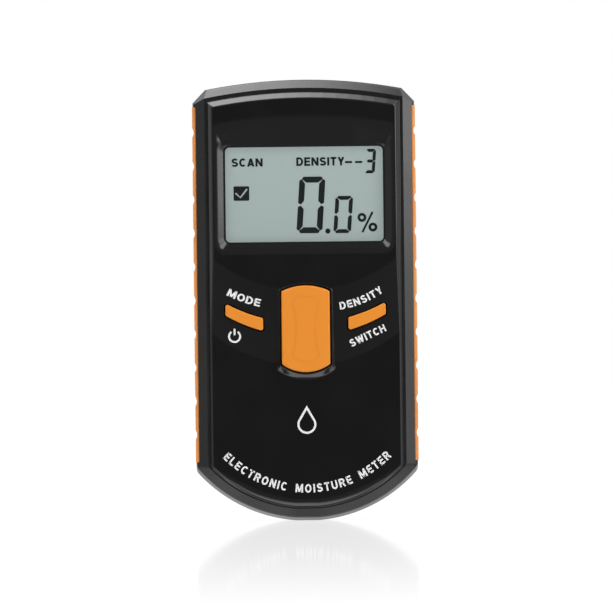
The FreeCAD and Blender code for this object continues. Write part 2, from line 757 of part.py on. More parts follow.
def make_switch(place):
    x, z = place
    half = SWITCH_BODY / 2
    body = box(x - half, x + half, SWITCH_TOP_Y, BOARD_FRONT_Y, z - half, z + half)
    return body.cut(rod(x, z, PLUNGER_RADIUS + PLUNGER_FIT, SWITCH_TOP_Y, SWITCH_BORE_END_Y))


def make_plunger(place):
    x, z = place
    return rod(x, z, PLUNGER_RADIUS, STEM_END_Y, PLUNGER_END_Y)


def make_cap(outline, crown_y, place, edge_round):
    """A cap with a flange behind the face plate and a stem that bears on the switch."""
    depth = PLATE_BACK_Y - crown_y
    cap = prism(outline(crown_y), depth)
    cap = cap.makeFillet(edge_round, edges_at(cap, crown_y))
    flange = prism(grown(outline(PLATE_BACK_Y), FLANGE), FLANGE_THICKNESS)
    stem = rod(*place, STEM_RADIUS, PLATE_BACK_Y + 0.5, STEM_END_Y)
    return cap.fuse([flange, stem]).removeSplitter()


def make_measure_button():
    return make_cap(button_cap_outline, BUTTON_CROWN_Y, SWITCH_PLACES["measure"], BUTTON_ROUND)


def make_density_key():
    return make_cap(key_cap_outline, KEY_CROWN_Y, SWITCH_PLACES["density"], KEY_ROUND)


def make_mode_key():
    return mirrored(make_density_key())


def make_right_grip():
    strip = box(GRIP_INNER_X, GRIP_HALF_WIDTH, GRIP_FRONT_Y, GRIP_BACK_Y, GRIP_BOTTOM, GRIP_TOP)

    def outer_long(edge):
        limits = edge.BoundBox
        return limits.ZLength > GRIP_LONG_EDGE and limits.XMin > GRIP_INNER_X + GRIP_OUTER_MARGIN

    strip = strip.makeFillet(GRIP_ROUND, [edge for edge in strip.Edges if outer_long(edge)])
    tongue = box(GRIP_TONGUE_X, GRIP_INNER_X, -GRIP_TONGUE_Y, GRIP_TONGUE_Y, GRIP_BOTTOM, GRIP_TOP)
    strip = strip.fuse(tongue).removeSplitter()
    notches = []
    for count in range(SCALLOP_COUNT):
        x = GRIP_HALF_WIDTH + SCALLOP_RADIUS - SCALLOP_DEPTH
        z = SCALLOP_FIRST_Z + SCALLOP_PITCH * count
        notches.append(rod(x, z, SCALLOP_RADIUS, -CUT_HALF_DEPTH, CUT_HALF_DEPTH))
    return strip.cut(notches)


def make_left_grip():
    return mirrored(make_right_grip())


def make_board_screws():
    screws = []
    for x, z in BOARD_SCREWS:
        for side in (x, -x):
            shank = rod(side, z, BOARD_SCREW_RADIUS, BOARD_SCREW_TIP_Y, BOARD_BACK_Y)
            head = rod(side, z, BOARD_SCREW_HEAD_RADIUS, BOARD_BACK_Y, BOARD_BACK_Y + BOARD_SCREW_HEAD_DEPTH)
            screws.append(shank.fuse(head).removeSplitter())
    return Part.makeCompound(screws)


def make_case_screws():
    head_y = CASE_HEAD_SEAT_Y + CASE_HEAD_DEPTH
    cross_y = head_y - CROSS_DEPTH
    long, short = CROSS_REACH, CROSS_HALF_WIDTH
    screws = []
    for x, z in CASE_SCREWS:
        for side in (x, -x):
            shank = rod(side, z, CASE_SCREW_RADIUS, CASE_SCREW_TIP_Y, CASE_HEAD_SEAT_Y)
            head = rod(side, z, CASE_HEAD_RADIUS, CASE_HEAD_SEAT_Y, head_y)
            head = head.makeFillet(CASE_HEAD_ROUND, edges_at(head, head_y))
            cross = box(side - long, side + long, cross_y, head_y + 1, z - short, z + short)
            cross = cross.fuse(box(side - short, side + short, cross_y, head_y + 1, z - long, z + long))
            screws.append(shank.fuse(head).cut(cross).removeSplitter())
    return Part.makeCompound(screws)


def make_battery():
    front_y = BATTERY_BACK_Y - BATTERY_DEPTH
    right_x = BATTERY_LEFT_X + BATTERY_LENGTH
    body = box(
        BATTERY_LEFT_X, right_x, front_y, BATTERY_BACK_Y, BATTERY_BOTTOM, BATTERY_BOTTOM + BATTERY_HEIGHT
    )
    lengthwise = [edge for edge in body.Edges if edge.BoundBox.XLength > BATTERY_LONG_EDGE]
    body = body.makeFillet(BATTERY_ROUND, lengthwise)
    middle_y = (front_y + BATTERY_BACK_Y) / 2
    return body.fuse(terminals(TERMINAL_RADIUS, right_x, middle_y)).removeSplitter()


def terminals(radius, x, y):
    """The two round terminals of the battery, or the sockets for them."""
    middle = BATTERY_BOTTOM + BATTERY_HEIGHT / 2
    studs = []
    for z in (middle - TERMINAL_SPREAD, middle + TERMINAL_SPREAD):
        studs.append(Part.makeCylinder(radius, TERMINAL_LENGTH, vector(x, y, z), vector(1, 0, 0)))
    return studs


def make_battery_snap():
    right_x = BATTERY_LEFT_X + BATTERY_LENGTH
    middle_y = BATTERY_BACK_Y - BATTERY_DEPTH / 2
    snap = box(
        right_x + SNAP_FIT, right_x + SNAP_THICKNESS,
        middle_y - SNAP_HALF_DEPTH, middle_y + SNAP_HALF_DEPTH, SNAP_BOTTOM, SNAP_TOP,
    )
    return snap.cut(terminals(TERMINAL_RADIUS + SNAP_FIT, right_x, middle_y))


def make_lead(y_start, x_end):
    """A lead from the top of the battery snap to the back of the main board."""
    start = vector(LEAD_START_X, y_start, SNAP_TOP - 1)
    points = [
        start,
        vector(LEAD_START_X, y_start, SNAP_TOP + 1),
        vector(LEAD_TURN[0], y_start, LEAD_TURN[1]),
        vector(x_end + LEAD_SLOPE[0], LEAD_SLOPE[1], LEAD_SLOPE[2]),
        vector(x_end, *LEAD_BEND),
        vector(x_end, 0, LEAD_END_Z[0]),
        vector(x_end, BOARD_BACK_Y - 1, LEAD_END_Z[1]),
    ]
    curve = Part.BSplineCurve()
    curve.interpolate(Points=points)
    path = Part.Wire([curve.toShape()])
    section = Part.Wire([Part.makeCircle(LEAD_RADIUS, start, vector(0, 0, 1))])
    lead = path.makePipeShell([section], True, False)
    left, right = LEAD_TRIM_X
    low, high = LEAD_TRIM_Z
    lead = lead.cut(box(left, right, -LEAD_TRIM_Y, LEAD_TRIM_Y, low, SNAP_TOP))
    return lead.cut(box(left, right, -LEAD_TRIM_Y, BOARD_BACK_Y, low, high))


def make_red_lead():
    return make_lead(*RED_LEAD)


def make_black_lead():
    return make_lead(*BLACK_LEAD)


def make_battery_pad():
    front_y = BATTERY_BACK_Y - BATTERY_DEPTH
    return box(*PAD_X, FLOOR_BACK_Y, front_y, *PAD_Z)


def make_sensor_cover():
    front = REAR_INNER_Y - SENSOR_FIT
    body = prism(sensor_outline(0, front), SENSOR_FACE_Y - front)
    body = body.makeFillet(SENSOR_EDGE_ROUND, edges_at(body, SENSOR_FACE_Y))
    flange_y = REAR_INNER_Y - SENSOR_FLANGE_THICKNESS
    flange = prism(sensor_outline(SENSOR_FLANGE, flange_y), SENSOR_FLANGE_THICKNESS)
    pocket_y = REAR_INNER_Y - 2
    pocket = prism(sensor_outline(-SENSOR_POCKET_INSET, pocket_y), SENSOR_FACE_Y - SENSOR_WALL - pocket_y)
    return body.fuse(flange).cut(pocket).removeSplitter()


def sensor_stack():
    """Depths behind the sensor face: back of its wall, of the electrodes and of the sensor board."""
    wall_y = SENSOR_FACE_Y - SENSOR_WALL
    electrode_y = wall_y - ELECTRODE_THICKNESS
    return wall_y, electrode_y, electrode_y - SENSOR_BOARD_THICKNESS


def make_sensor_electrodes():
    wall_y, electrode_y, _ = sensor_stack()
    bottom = SENSOR_BOTTOM + ELECTRODE_MARGIN
    top = SENSOR_TOP - ELECTRODE_MARGIN
    right = box(*ELECTRODE_X, electrode_y, wall_y, bottom, top)
    return Part.makeCompound([mirrored(right), right])


def make_sensor_board():
    _, electrode_y, board_y = sensor_stack()
    half = SENSOR_BOARD_HALF_WIDTH
    bottom = SENSOR_BOTTOM + SENSOR_BOARD_MARGIN
    return box(-half, half, board_y, electrode_y, bottom, SENSOR_TOP - SENSOR_BOARD_MARGIN)


def make_sensor_foam():
    return box(*FOAM_X, BOARD_BACK_Y, sensor_stack()[2], *FOAM_Z)


def make_sensor_pins():
    half = PIN_HALF_WIDTH
    back = sensor_stack()[2]
    pins = [box(x - half, x + half, BOARD_BACK_Y, back, PIN_Z - half, PIN_Z + half) for x in PIN_PLACES_X]
    return Part.makeCompound(pins)


def make_pin_header():
    half = HEADER_HALF_HEIGHT
    back = BOARD_BACK_Y + HEADER_DEPTH
    header = box(-HEADER_HALF_LENGTH, HEADER_HALF_LENGTH, BOARD_BACK_Y, back, PIN_Z - half, PIN_Z + half)
    return header.cut(make_sensor_pins())


NODES = {
    "front_shell": make_front_shell,
    "rear_shell": make_rear_shell,
    "face_plate": make_face_plate,
    "left_grip": make_left_grip,
    "right_grip": make_right_grip,
    "display_window": make_display_window,
    "window_gasket": make_window_gasket,
    "lcd_glass": make_lcd_glass,
    "lcd_frame": make_lcd_frame,
    "lcd_connector": make_lcd_connector,
    "backlight_diffuser": make_backlight_diffuser,
    "backlight_leds": make_backlight_leds,
    "main_board": make_main_board,
    "microcontroller": make_microcontroller,
    "crystal": make_crystal,
    "capacitor": make_capacitor,
    "buzzer": make_buzzer,
    "measure_button": make_measure_button,
    "mode_key": make_mode_key,
    "density_key": make_density_key,
    "board_screws": make_board_screws,
    "case_screws": make_case_screws,
    "battery": make_battery,
    "battery_snap": make_battery_snap,
    "battery_lead_red": make_red_lead,
    "battery_lead_black": make_black_lead,
    "battery_pad": make_battery_pad,
    "battery_door": make_battery_door,
    "sensor_cover": make_sensor_cover,
    "sensor_electrodes": make_sensor_electrodes,
    "sensor_board": make_sensor_board,
    "sensor_foam": make_sensor_foam,
    "sensor_pins": make_sensor_pins,
    "pin_header": make_pin_header,
}


def main():
    os.makedirs("parts", exist_ok=True)
    shapes = {name: make() for name, make in NODES.items()}
    for name, place in SWITCH_PLACES.items():
        shapes[name + "_switch"] = make_switch(place)
        shapes[name + "_plunger"] = make_plunger(place)
    for name, shape in shapes.items():
        shape.exportStep("parts/" + name + ".step")


main()
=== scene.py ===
import math

import bpy
import numpy
from mathutils import Matrix, Vector
from mathutils.bvhtree import BVHTree
from mathutils.geometry import delaunay_2d_cdt


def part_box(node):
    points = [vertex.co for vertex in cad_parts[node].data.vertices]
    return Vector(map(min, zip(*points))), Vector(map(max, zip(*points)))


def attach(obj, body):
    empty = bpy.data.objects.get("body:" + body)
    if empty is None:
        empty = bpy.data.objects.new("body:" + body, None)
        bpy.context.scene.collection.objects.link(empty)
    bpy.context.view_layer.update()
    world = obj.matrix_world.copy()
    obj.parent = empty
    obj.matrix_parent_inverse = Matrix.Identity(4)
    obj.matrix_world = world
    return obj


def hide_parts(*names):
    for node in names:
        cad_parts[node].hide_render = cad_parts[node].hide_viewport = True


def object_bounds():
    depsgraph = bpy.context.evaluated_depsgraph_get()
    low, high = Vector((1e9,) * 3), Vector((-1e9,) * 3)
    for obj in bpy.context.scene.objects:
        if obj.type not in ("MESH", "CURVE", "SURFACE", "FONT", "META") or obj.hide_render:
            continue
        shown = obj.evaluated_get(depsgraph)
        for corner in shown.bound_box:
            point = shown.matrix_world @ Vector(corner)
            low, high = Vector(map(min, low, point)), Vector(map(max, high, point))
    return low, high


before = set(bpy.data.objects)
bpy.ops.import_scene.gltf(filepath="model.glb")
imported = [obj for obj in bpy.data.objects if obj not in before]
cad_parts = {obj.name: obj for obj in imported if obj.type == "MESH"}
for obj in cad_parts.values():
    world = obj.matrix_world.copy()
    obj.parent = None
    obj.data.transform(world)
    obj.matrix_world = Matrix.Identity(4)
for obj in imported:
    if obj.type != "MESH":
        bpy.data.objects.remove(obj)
cad_low, cad_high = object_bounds()

MM = 0.001


# ---------------------------------------------------------------- node trees

class Tree:
    """Short words for building one node tree."""

    def __init__(self, owner):
        owner.use_nodes = True
        self.tree = owner.node_tree
        self.tree.nodes.clear()

    def add(self, kind, **settings):
        node = self.tree.nodes.new("ShaderNode" + kind)
        for key, value in settings.items():
            setattr(node, key, value)
        return node

    def feed(self, socket, value):
        if isinstance(value, bpy.types.NodeSocket):
            self.tree.links.new(value, socket)
        else:
            socket.default_value = value

    def calculate(self, operation, *values):
        node = self.add("Math", operation=operation)
        for socket, value in zip(node.inputs, values):
            self.feed(socket, value)
        return node.outputs[0]

    def ramp(self, value, start, end, low=0.0, high=1.0):
        """Goes smoothly from low to high while value goes from start to end."""
        node = self.add("MapRange", interpolation_type="SMOOTHSTEP")
        for name, number in (("Value", value), ("From Min", start), ("From Max", end)):
            self.feed(node.inputs[name], number)
        self.feed(node.inputs["To Min"], low)
        self.feed(node.inputs["To Max"], high)
        return node.outputs["Result"]

    def blend_colours(self, share, first, second):
        node = self.add("Mix", data_type="RGBA")
        colour_inputs = [socket for socket in node.inputs if socket.type == "RGBA"]
        self.feed(node.inputs["Factor"], share)
        self.feed(colour_inputs[0], first)
        self.feed(colour_inputs[1], second)
        return [socket for socket in node.outputs if socket.type == "RGBA"][0]

    def place(self):
        """The point being shaded, in the frame's own metres."""
        return self.add("TexCoord").outputs["Object"]

    def axes(self, vector):
        return self.add_linked("SeparateXYZ", Vector=vector).outputs

    def add_linked(self, kind, **inputs):
        node = self.add(kind)
        for name, value in inputs.items():
            self.feed(node.inputs[name.replace("_", " ")], value)
        return node

    def noise(self, feature_size, detail=2.0):
        """Cloudy noise from 0 to 1 whose lumps are about feature_size metres."""
        node = self.add_linked("TexNoise", Vector=self.place(), Scale=1 / feature_size, Detail=detail)
        return node.outputs["Fac"]

    def soft_edges(self, radius):
        """A surface normal with its sharp edges rounded off by radius metres."""
        node = self.add("Bevel", samples=4)
        node.inputs["Radius"].default_value = radius
        return node.outputs["Normal"]

    def edge_share(self, rounded):
        """1 on an edge that the rounded normal softens, 0 on open surface."""
        node = self.add("VectorMath", operation="DOT_PRODUCT")
        self.feed(node.inputs[0], rounded)
        self.feed(node.inputs[1], self.add("NewGeometry").outputs["Normal"])
        return self.ramp(node.outputs["Value"], 0.995, 0.85)

    def bump(self, height, depth, normal=None):
        """Surface relief of about depth metres where height goes from 0 to 1."""
        node = self.add_linked("Bump", Height=height, Distance=depth, Strength=1.0)
        if normal is not None:
            self.feed(node.inputs["Normal"], normal)
        return node.outputs["Normal"]

    def surface(self, **inputs):
        node = self.add_linked("BsdfPrincipled", **inputs)
        return node.outputs["BSDF"]

    def output(self, shader, world=False):
        node = self.add("OutputWorld" if world else "OutputMaterial")
        self.tree.links.new(shader, node.inputs["Surface"])


def colour(red, green, blue):
    return (red, green, blue, 1.0)


def scaled(shade, factor):
    return tuple(min(1.0, channel * factor) for channel in shade[:3]) + (1.0,)


# ---------------------------------------------------------------- materials

def moulded(name, shade, roughness, grain=0.25 * MM, relief=0.004 * MM, edge=0.15 * MM,
            mottle=0.12, smudge=0.05, wear=None, sheen=0.0, specular=0.5, painted_shade_reach=0.0, painted_sheen_colour=None):
    """Injection-moulded plastic or rubber: fine grain, uneven gloss and softened edges.

    wear is the colour that shows on rubbed edges, crevice how far painted shade reaches into gaps and
    creases, and grazing a paler colour painted where the surface is seen almost edge on, as a painted
    reflection.
    """
    material = bpy.data.materials.new(name)
    tree = Tree(material)
    rounded = tree.soft_edges(edge)
    cloud = tree.noise(9 * MM, 3.0)
    speckle = tree.noise(grain, 2.0)
    base = tree.blend_colours(cloud, scaled(shade, 1 - mottle), scaled(shade, 1 + mottle))
    if wear is not None:
        worn = tree.calculate("MULTIPLY", tree.edge_share(rounded), tree.noise(2.5 * MM, 4.0))
        base = tree.blend_colours(worn, base, wear)
    # Painted reflection: the colour turns paler where the surface is seen almost edge on.
    if painted_sheen_colour is not None:
        facing = tree.add_linked("LayerWeight", Blend=0.5).outputs["Facing"]
        base = tree.blend_colours(tree.ramp(facing, 0.55, 0.95), base, painted_sheen_colour)
    # Painted shade: ambient occlusion darkens the colour and takes away the gloss in gaps and creases.
    if painted_shade_reach:
        nearby = tree.add("AmbientOcclusion", samples=6)
        nearby.inputs["Distance"].default_value = painted_shade_reach
        painted_gap_shade = tree.ramp(nearby.outputs["AO"], 0.25, 0.80, 1.0, 0.0)
        base = tree.blend_colours(painted_gap_shade, base, scaled(shade, 0.12))
        specular = tree.calculate("MULTIPLY", tree.calculate("SUBTRACT", 1.0, painted_gap_shade), specular)
    handling = tree.ramp(tree.noise(16 * MM, 5.0), 0.35, 0.7, -smudge, smudge)
    grit = tree.ramp(speckle, 0.2, 0.8, -0.03, 0.03)
    gloss = tree.calculate("ADD", tree.calculate("ADD", handling, grit), roughness)
    normal = tree.bump(speckle, relief, rounded)
    shader = tree.surface(Base_Color=base, Roughness=gloss, Normal=normal, Sheen_Weight=sheen,
                          Specular_IOR_Level=specular)
    tree.output(shader)
    return material


def metal(name, shade, roughness, scratch=0.2 * MM):
    """Bare metal with fine tool marks and slightly uneven tarnish."""
    material = bpy.data.materials.new(name)
    tree = Tree(material)
    lines = tree.noise(scratch, 3.0)
    tarnish = tree.noise(2 * MM, 4.0)
    base = tree.blend_colours(tarnish, scaled(shade, 0.8), scaled(shade, 1.1))
    gloss = tree.ramp(tarnish, 0.2, 0.8, roughness - 0.06, roughness + 0.08)
    normal = tree.bump(lines, 0.003 * MM, tree.soft_edges(0.06 * MM))
    tree.output(tree.surface(Base_Color=base, Metallic=1.0, Roughness=gloss, Normal=normal))
    return material


def clear_window(name):
    """Clear cast sheet: light passes straight on, and only a thin gloss stays on top."""
    material = bpy.data.materials.new(name)
    tree = Tree(material)
    gloss = tree.ramp(tree.noise(12 * MM, 4.0), 0.3, 0.7, 0.02, 0.05)
    shine = tree.add_linked("BsdfGlossy", Color=colour(1, 1, 1), Roughness=gloss)
    clear = tree.add_linked("BsdfTransparent", Color=colour(0.965, 0.975, 0.97))
    fresnel = tree.add_linked("Fresnel", IOR=1.46)
    inside = tree.add("NewGeometry").outputs["Backfacing"]
    outside = tree.calculate("SUBTRACT", 1.0, inside)
    front_only = tree.calculate("MULTIPLY", fresnel.outputs["Fac"], outside)
    mixed = tree.add("MixShader")
    tree.feed(mixed.inputs["Fac"], front_only)
    tree.tree.links.new(clear.outputs["BSDF"], mixed.inputs[1])
    tree.tree.links.new(shine.outputs["BSDF"], mixed.inputs[2])
    tree.output(mixed.outputs["Shader"])
    return material


def display_glass(name, shade):
    """Display glass with a dim glow, as from its backlight, painted even so that the recess casts no shade
    on it: an even grey-green field, a trace lighter at its top.
    """
    material = bpy.data.materials.new(name)
    tree = Tree(material)
    low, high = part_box("lcd_glass")
    height = tree.ramp(tree.axes(tree.place())["Z"], low.z, high.z, 0.0, 1.0)
    field = tree.blend_colours(height, scaled(shade, 0.97), scaled(shade, 1.03))
    grain = tree.noise(0.12 * MM, 1.0)
    speckled = tree.blend_colours(tree.ramp(grain, 0.3, 0.7, 0.0, 0.06), field, scaled(shade, 0.8))
    normal = tree.bump(grain, 0.001 * MM)
    # Painted glow: part of the field is given as emission, so it stays even right up to the edges that the
    # recess shades.
    dimmed = tree.blend_colours(0.55, speckled, colour(0, 0, 0))
    tree.output(tree.surface(Base_Color=dimmed, Roughness=0.45,
                             Normal=normal, Emission_Color=speckled, Emission_Strength=0.74))
    return material


def circuit_board(name):
    """Green solder mask over copper tracks."""
    material = bpy.data.materials.new(name)
    tree = Tree(material)
    tracks = tree.add("TexVoronoi", distance="MANHATTAN", feature="DISTANCE_TO_EDGE")
    tree.feed(tracks.inputs["Vector"], tree.place())
    tracks.inputs["Scale"].default_value = 1 / (3.2 * MM)
    line = tree.ramp(tracks.outputs["Distance"], 0.04, 0.06, 1.0, 0.0)
    mask = colour(0.010, 0.105, 0.040)
    base = tree.blend_colours(line, mask, scaled(mask, 1.9))
    normal = tree.bump(line, 0.02 * MM, tree.soft_edges(0.1 * MM))
    gloss = tree.ramp(tree.noise(5 * MM), 0.3, 0.7, 0.22, 0.34)
    tree.output(tree.surface(Base_Color=base, Roughness=gloss, Normal=normal))
    return material


def battery_wrap(name):
    """Printed shrink sleeve: a copper-coloured band over black, on a steel can."""
    material = bpy.data.materials.new(name)
    tree = Tree(material)
    low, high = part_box("battery")
    along = tree.axes(tree.place())["X"]
    seam = low.x + 0.32 * (high.x - low.x)
    ink = tree.ramp(along, seam - 0.05 * MM, seam + 0.05 * MM)
    ends = tree.calculate("ADD", tree.ramp(along, low.x + 1.2 * MM, low.x + 1.0 * MM),
                          tree.ramp(along, high.x - 3.2 * MM, high.x - 3.0 * MM))
    printed = tree.blend_colours(ink, colour(0.48, 0.20, 0.07), colour(0.012, 0.012, 0.014))
    base = tree.blend_colours(ends, printed, colour(0.55, 0.55, 0.53))
    wrinkle = tree.noise(3 * MM, 5.0)
    normal = tree.bump(wrinkle, 0.03 * MM, tree.soft_edges(0.3 * MM))
    gloss = tree.ramp(wrinkle, 0.3, 0.7, 0.18, 0.36)
    shine = tree.calculate("MAXIMUM", ends, tree.calculate("SUBTRACT", 0.7, ink))
    tree.output(tree.surface(Base_Color=base, Roughness=gloss, Metallic=shine, Normal=normal))
    return material


def foam(name, shade):
    """Open-cell foam."""
    material = bpy.data.materials.new(name)
    tree = Tree(material)
    cells = tree.add("TexVoronoi")
    tree.feed(cells.inputs["Vector"], tree.place())
    cells.inputs["Scale"].default_value = 1 / (0.5 * MM)
    depth = cells.outputs["Distance"]
    base = tree.blend_colours(depth, scaled(shade, 1.6), scaled(shade, 0.4))
    normal = tree.bump(depth, 0.2 * MM)
    tree.output(tree.surface(Base_Color=base, Roughness=0.95, Normal=normal))
    return material


BLACK = colour(0.0045, 0.0045, 0.0048)
ORANGE = colour(0.64, 0.213, 0.018)
GRIP = colour(0.60, 0.215, 0.045)
# Painted reflection colour, shown where the grips are seen almost edge on.
GRIP_PAINTED_SHEEN = colour(0.66, 0.30, 0.12)

MATERIALS = {
    "case_black": moulded("case_black", BLACK, 0.27, wear=colour(0.03, 0.03, 0.031), painted_shade_reach=0.7 * MM),
    "face_black": moulded("face_black", scaled(BLACK, 0.7), 0.13, grain=0.5 * MM,
                          relief=0.0012 * MM, edge=0.12 * MM, smudge=0.03, painted_shade_reach=0.7 * MM),
    "grip_orange": moulded("grip_orange", GRIP, 0.52, grain=0.35 * MM, relief=0.012 * MM,
                           edge=0.25 * MM, mottle=0.08, sheen=0.15, painted_shade_reach=0.8 * MM,
                           painted_sheen_colour=GRIP_PAINTED_SHEEN),
    "button_orange": moulded("button_orange", ORANGE, 0.42, grain=0.3 * MM, relief=0.005 * MM,
                             edge=0.2 * MM, mottle=0.03, wear=colour(0.70, 0.27, 0.05),
                             specular=0.3, painted_shade_reach=1.0 * MM),
    "window_clear": clear_window("window_clear"),
    "gasket_black": moulded("gasket_black", colour(0.004, 0.005, 0.006), 0.6, relief=0.01 * MM,
                            specular=0.12),
    "lcd_grey": display_glass("lcd_grey", colour(0.315, 0.37, 0.365)),
    "frame_white": moulded("frame_white", colour(0.72, 0.73, 0.72), 0.4),
    "elastomer_grey": moulded("elastomer_grey", colour(0.10, 0.10, 0.11), 0.7),
    "diffuser_white": moulded("diffuser_white", colour(0.80, 0.81, 0.80), 0.35),
    "led_white": moulded("led_white", colour(0.85, 0.80, 0.45), 0.25),
    "board_green": circuit_board("board_green"),
    "chip_black": moulded("chip_black", colour(0.014, 0.014, 0.016), 0.5),
    "can_steel": metal("can_steel", colour(0.62, 0.63, 0.64), 0.22),
    "capacitor_sleeve": moulded("capacitor_sleeve", colour(0.015, 0.020, 0.06), 0.3),
    "screw_steel": metal("screw_steel", colour(0.56, 0.57, 0.58), 0.30),
    "battery_jacket": battery_wrap("battery_jacket"),
    "snap_black": moulded("snap_black", colour(0.016, 0.016, 0.017), 0.5),
    "lead_red": moulded("lead_red", colour(0.50, 0.018, 0.014), 0.42),
    "lead_black": moulded("lead_black", colour(0.014, 0.014, 0.015), 0.42),
    "foam_black": foam("foam_black", colour(0.022, 0.022, 0.024)),
    "sensor_black": moulded("sensor_black", BLACK, 0.36, grain=0.4 * MM, relief=0.006 * MM,
                            edge=0.2 * MM, wear=colour(0.04, 0.04, 0.042)),
    "electrode_copper": metal("electrode_copper", colour(0.72, 0.36, 0.18), 0.3),
    "pin_brass": metal("pin_brass", colour(0.74, 0.55, 0.24), 0.25),
    "switch_black": moulded("switch_black", colour(0.016, 0.016, 0.017), 0.5),
    "plunger_white": moulded("plunger_white", colour(0.70, 0.70, 0.66), 0.4),
    "ink_white": moulded("ink_white", colour(0.68, 0.68, 0.68), 0.55, grain=0.15 * MM,
                         relief=0.003 * MM, edge=0.03 * MM, mottle=0.04),
    "lcd_ink": moulded("lcd_ink", colour(0.007, 0.0095, 0.009), 0.5, grain=0.15 * MM,
                       relief=0.001 * MM, edge=0.03 * MM, specular=0.1),
}


def dress_cad_nodes():
    """Every CAD node gets the worked-out material of its record slot."""
    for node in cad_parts.values():
        for index, old in enumerate(node.data.materials):
            slot = old.name.split(".")[0]
            node.data.materials[index] = MATERIALS[slot]


# ---------------------------------------------------------------- thin printed shapes

def front_of(mesh):
    """A function that gives how far back the front of a mesh is at (x, z)."""
    corners = [vertex.co for vertex in mesh.vertices]
    surface = BVHTree.FromPolygons(corners, [tuple(face.vertices) for face in mesh.polygons])
    start = cad_low.y - 10 * MM

    def depth(x, z):
        return surface.ray_cast(Vector((x, start, z)), Vector((0, 1, 0)))[0].y

    return depth


def solid_from_curve(curve, name):
    """Turns a filled, extruded curve into a mesh in its own flat plane."""
    holder = bpy.data.objects.new(name + "_curve", curve)
    bpy.context.scene.collection.objects.link(holder)
    bpy.context.view_layer.update()
    depsgraph = bpy.context.evaluated_depsgraph_get()
    mesh = bpy.data.meshes.new_from_object(holder.evaluated_get(depsgraph))
    bpy.data.objects.remove(holder)
    bpy.data.curves.remove(curve)
    mesh.name = name
    return mesh


def flat_shape(name, loops):
    """A mesh one unit thick from closed outlines in millimetres. An outline inside another is a hole."""
    curve = bpy.data.curves.new(name, "CURVE")
    curve.dimensions = "2D"
    curve.fill_mode = "BOTH"
    curve.extrude = 0.5
    for loop in loops:
        spline = curve.splines.new("POLY")
        spline.points.add(len(loop) - 1)
        for point, (across, up) in zip(spline.points, loop):
            point.co = (across, up, 0, 1)
        spline.use_cyclic_u = True
    return solid_from_curve(curve, name)


def lay_on(mesh, name, slot, depth, bend, lift, thickness, body="case"):
    """Bends a flat mesh onto a surface. bend maps its plane to (x, z) in millimetres.

    slot names the material the piece is made of. Printing and display ink have no slot in the record.
    """
    for vertex in mesh.vertices:
        x, z = bend(vertex.co.x, vertex.co.y)
        outward = lift + thickness * (0.5 + vertex.co.z)
        x, z = x * MM, z * MM
        vertex.co = (x, depth(x, z) - outward, z)
    mesh.materials.clear()
    mesh.materials.append(MATERIALS[slot])
    obj = bpy.data.objects.new(name, mesh)
    bpy.context.scene.collection.objects.link(obj)
    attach(obj, body)
    return obj


def turned(centre_x, centre_z, tilt):
    """Maps a flat plane to (x, z), turned by tilt degrees about its centre."""
    cosine, sine = math.cos(math.radians(tilt)), math.sin(math.radians(tilt))

    def bend(across, up):
        return centre_x + across * cosine - up * sine, centre_z + across * sine + up * cosine

    return bend


def around(centre_x, centre_z, radius, turn=0.0):
    """Maps a flat plane to the lower arc of a circle, its middle turn degrees past the lowest point."""

    def bend(across, up):
        angle = math.radians(turn) + across / radius
        return centre_x + (radius - up) * math.sin(angle), centre_z - (radius - up) * math.cos(angle)

    return bend


# ---------------------------------------------------------------- outlines in millimetres

def arc_points(centre, radius, start, end, count):
    """Points on a circle from start to end degrees, counted from the right, anticlockwise."""
    points = []
    for index in range(count + 1):
        angle = math.radians(start + (end - start) * index / count)
        points.append((centre[0] + radius * math.cos(angle), centre[1] + radius * math.sin(angle)))
    return points


def circle(centre, radius, count=40):
    return arc_points(centre, radius, 0, 360, count)[:-1]


def rounded_box(left, bottom, right, top, radius):
    corners = ((right - radius, top - radius, 0), (left + radius, top - radius, 90),
               (left + radius, bottom + radius, 180), (right - radius, bottom + radius, 270))
    points = []
    for x, z, start in corners:
        points += arc_points((x, z), radius, start, start + 90, 5)
    return points


def stroke(points, width):
    """The outline of a line of even width through points, with square ends."""
    left, right = [], []
    for index, point in enumerate(points):
        before = Vector(points[max(index - 1, 0)])
        after = Vector(points[min(index + 1, len(points) - 1)])
        along = (after - before).normalized()
        side = Vector((-along.y, along.x)) * width / 2
        left.append(tuple(Vector(point) + side))
        right.append(tuple(Vector(point) - side))
    return left + right[::-1]


def bow(centre_x, centre_z, reach_x, reach_z, start, end):
    """Points on an upright ellipse from start to end degrees, anticlockwise from the right."""
    count = max(4, round(abs(end - start) / 12))
    points = []
    for index in range(count + 1):
        angle = math.radians(start + (end - start) * index / count)
        points.append((centre_x + reach_x * math.cos(angle), centre_z + reach_z * math.sin(angle)))
    return points


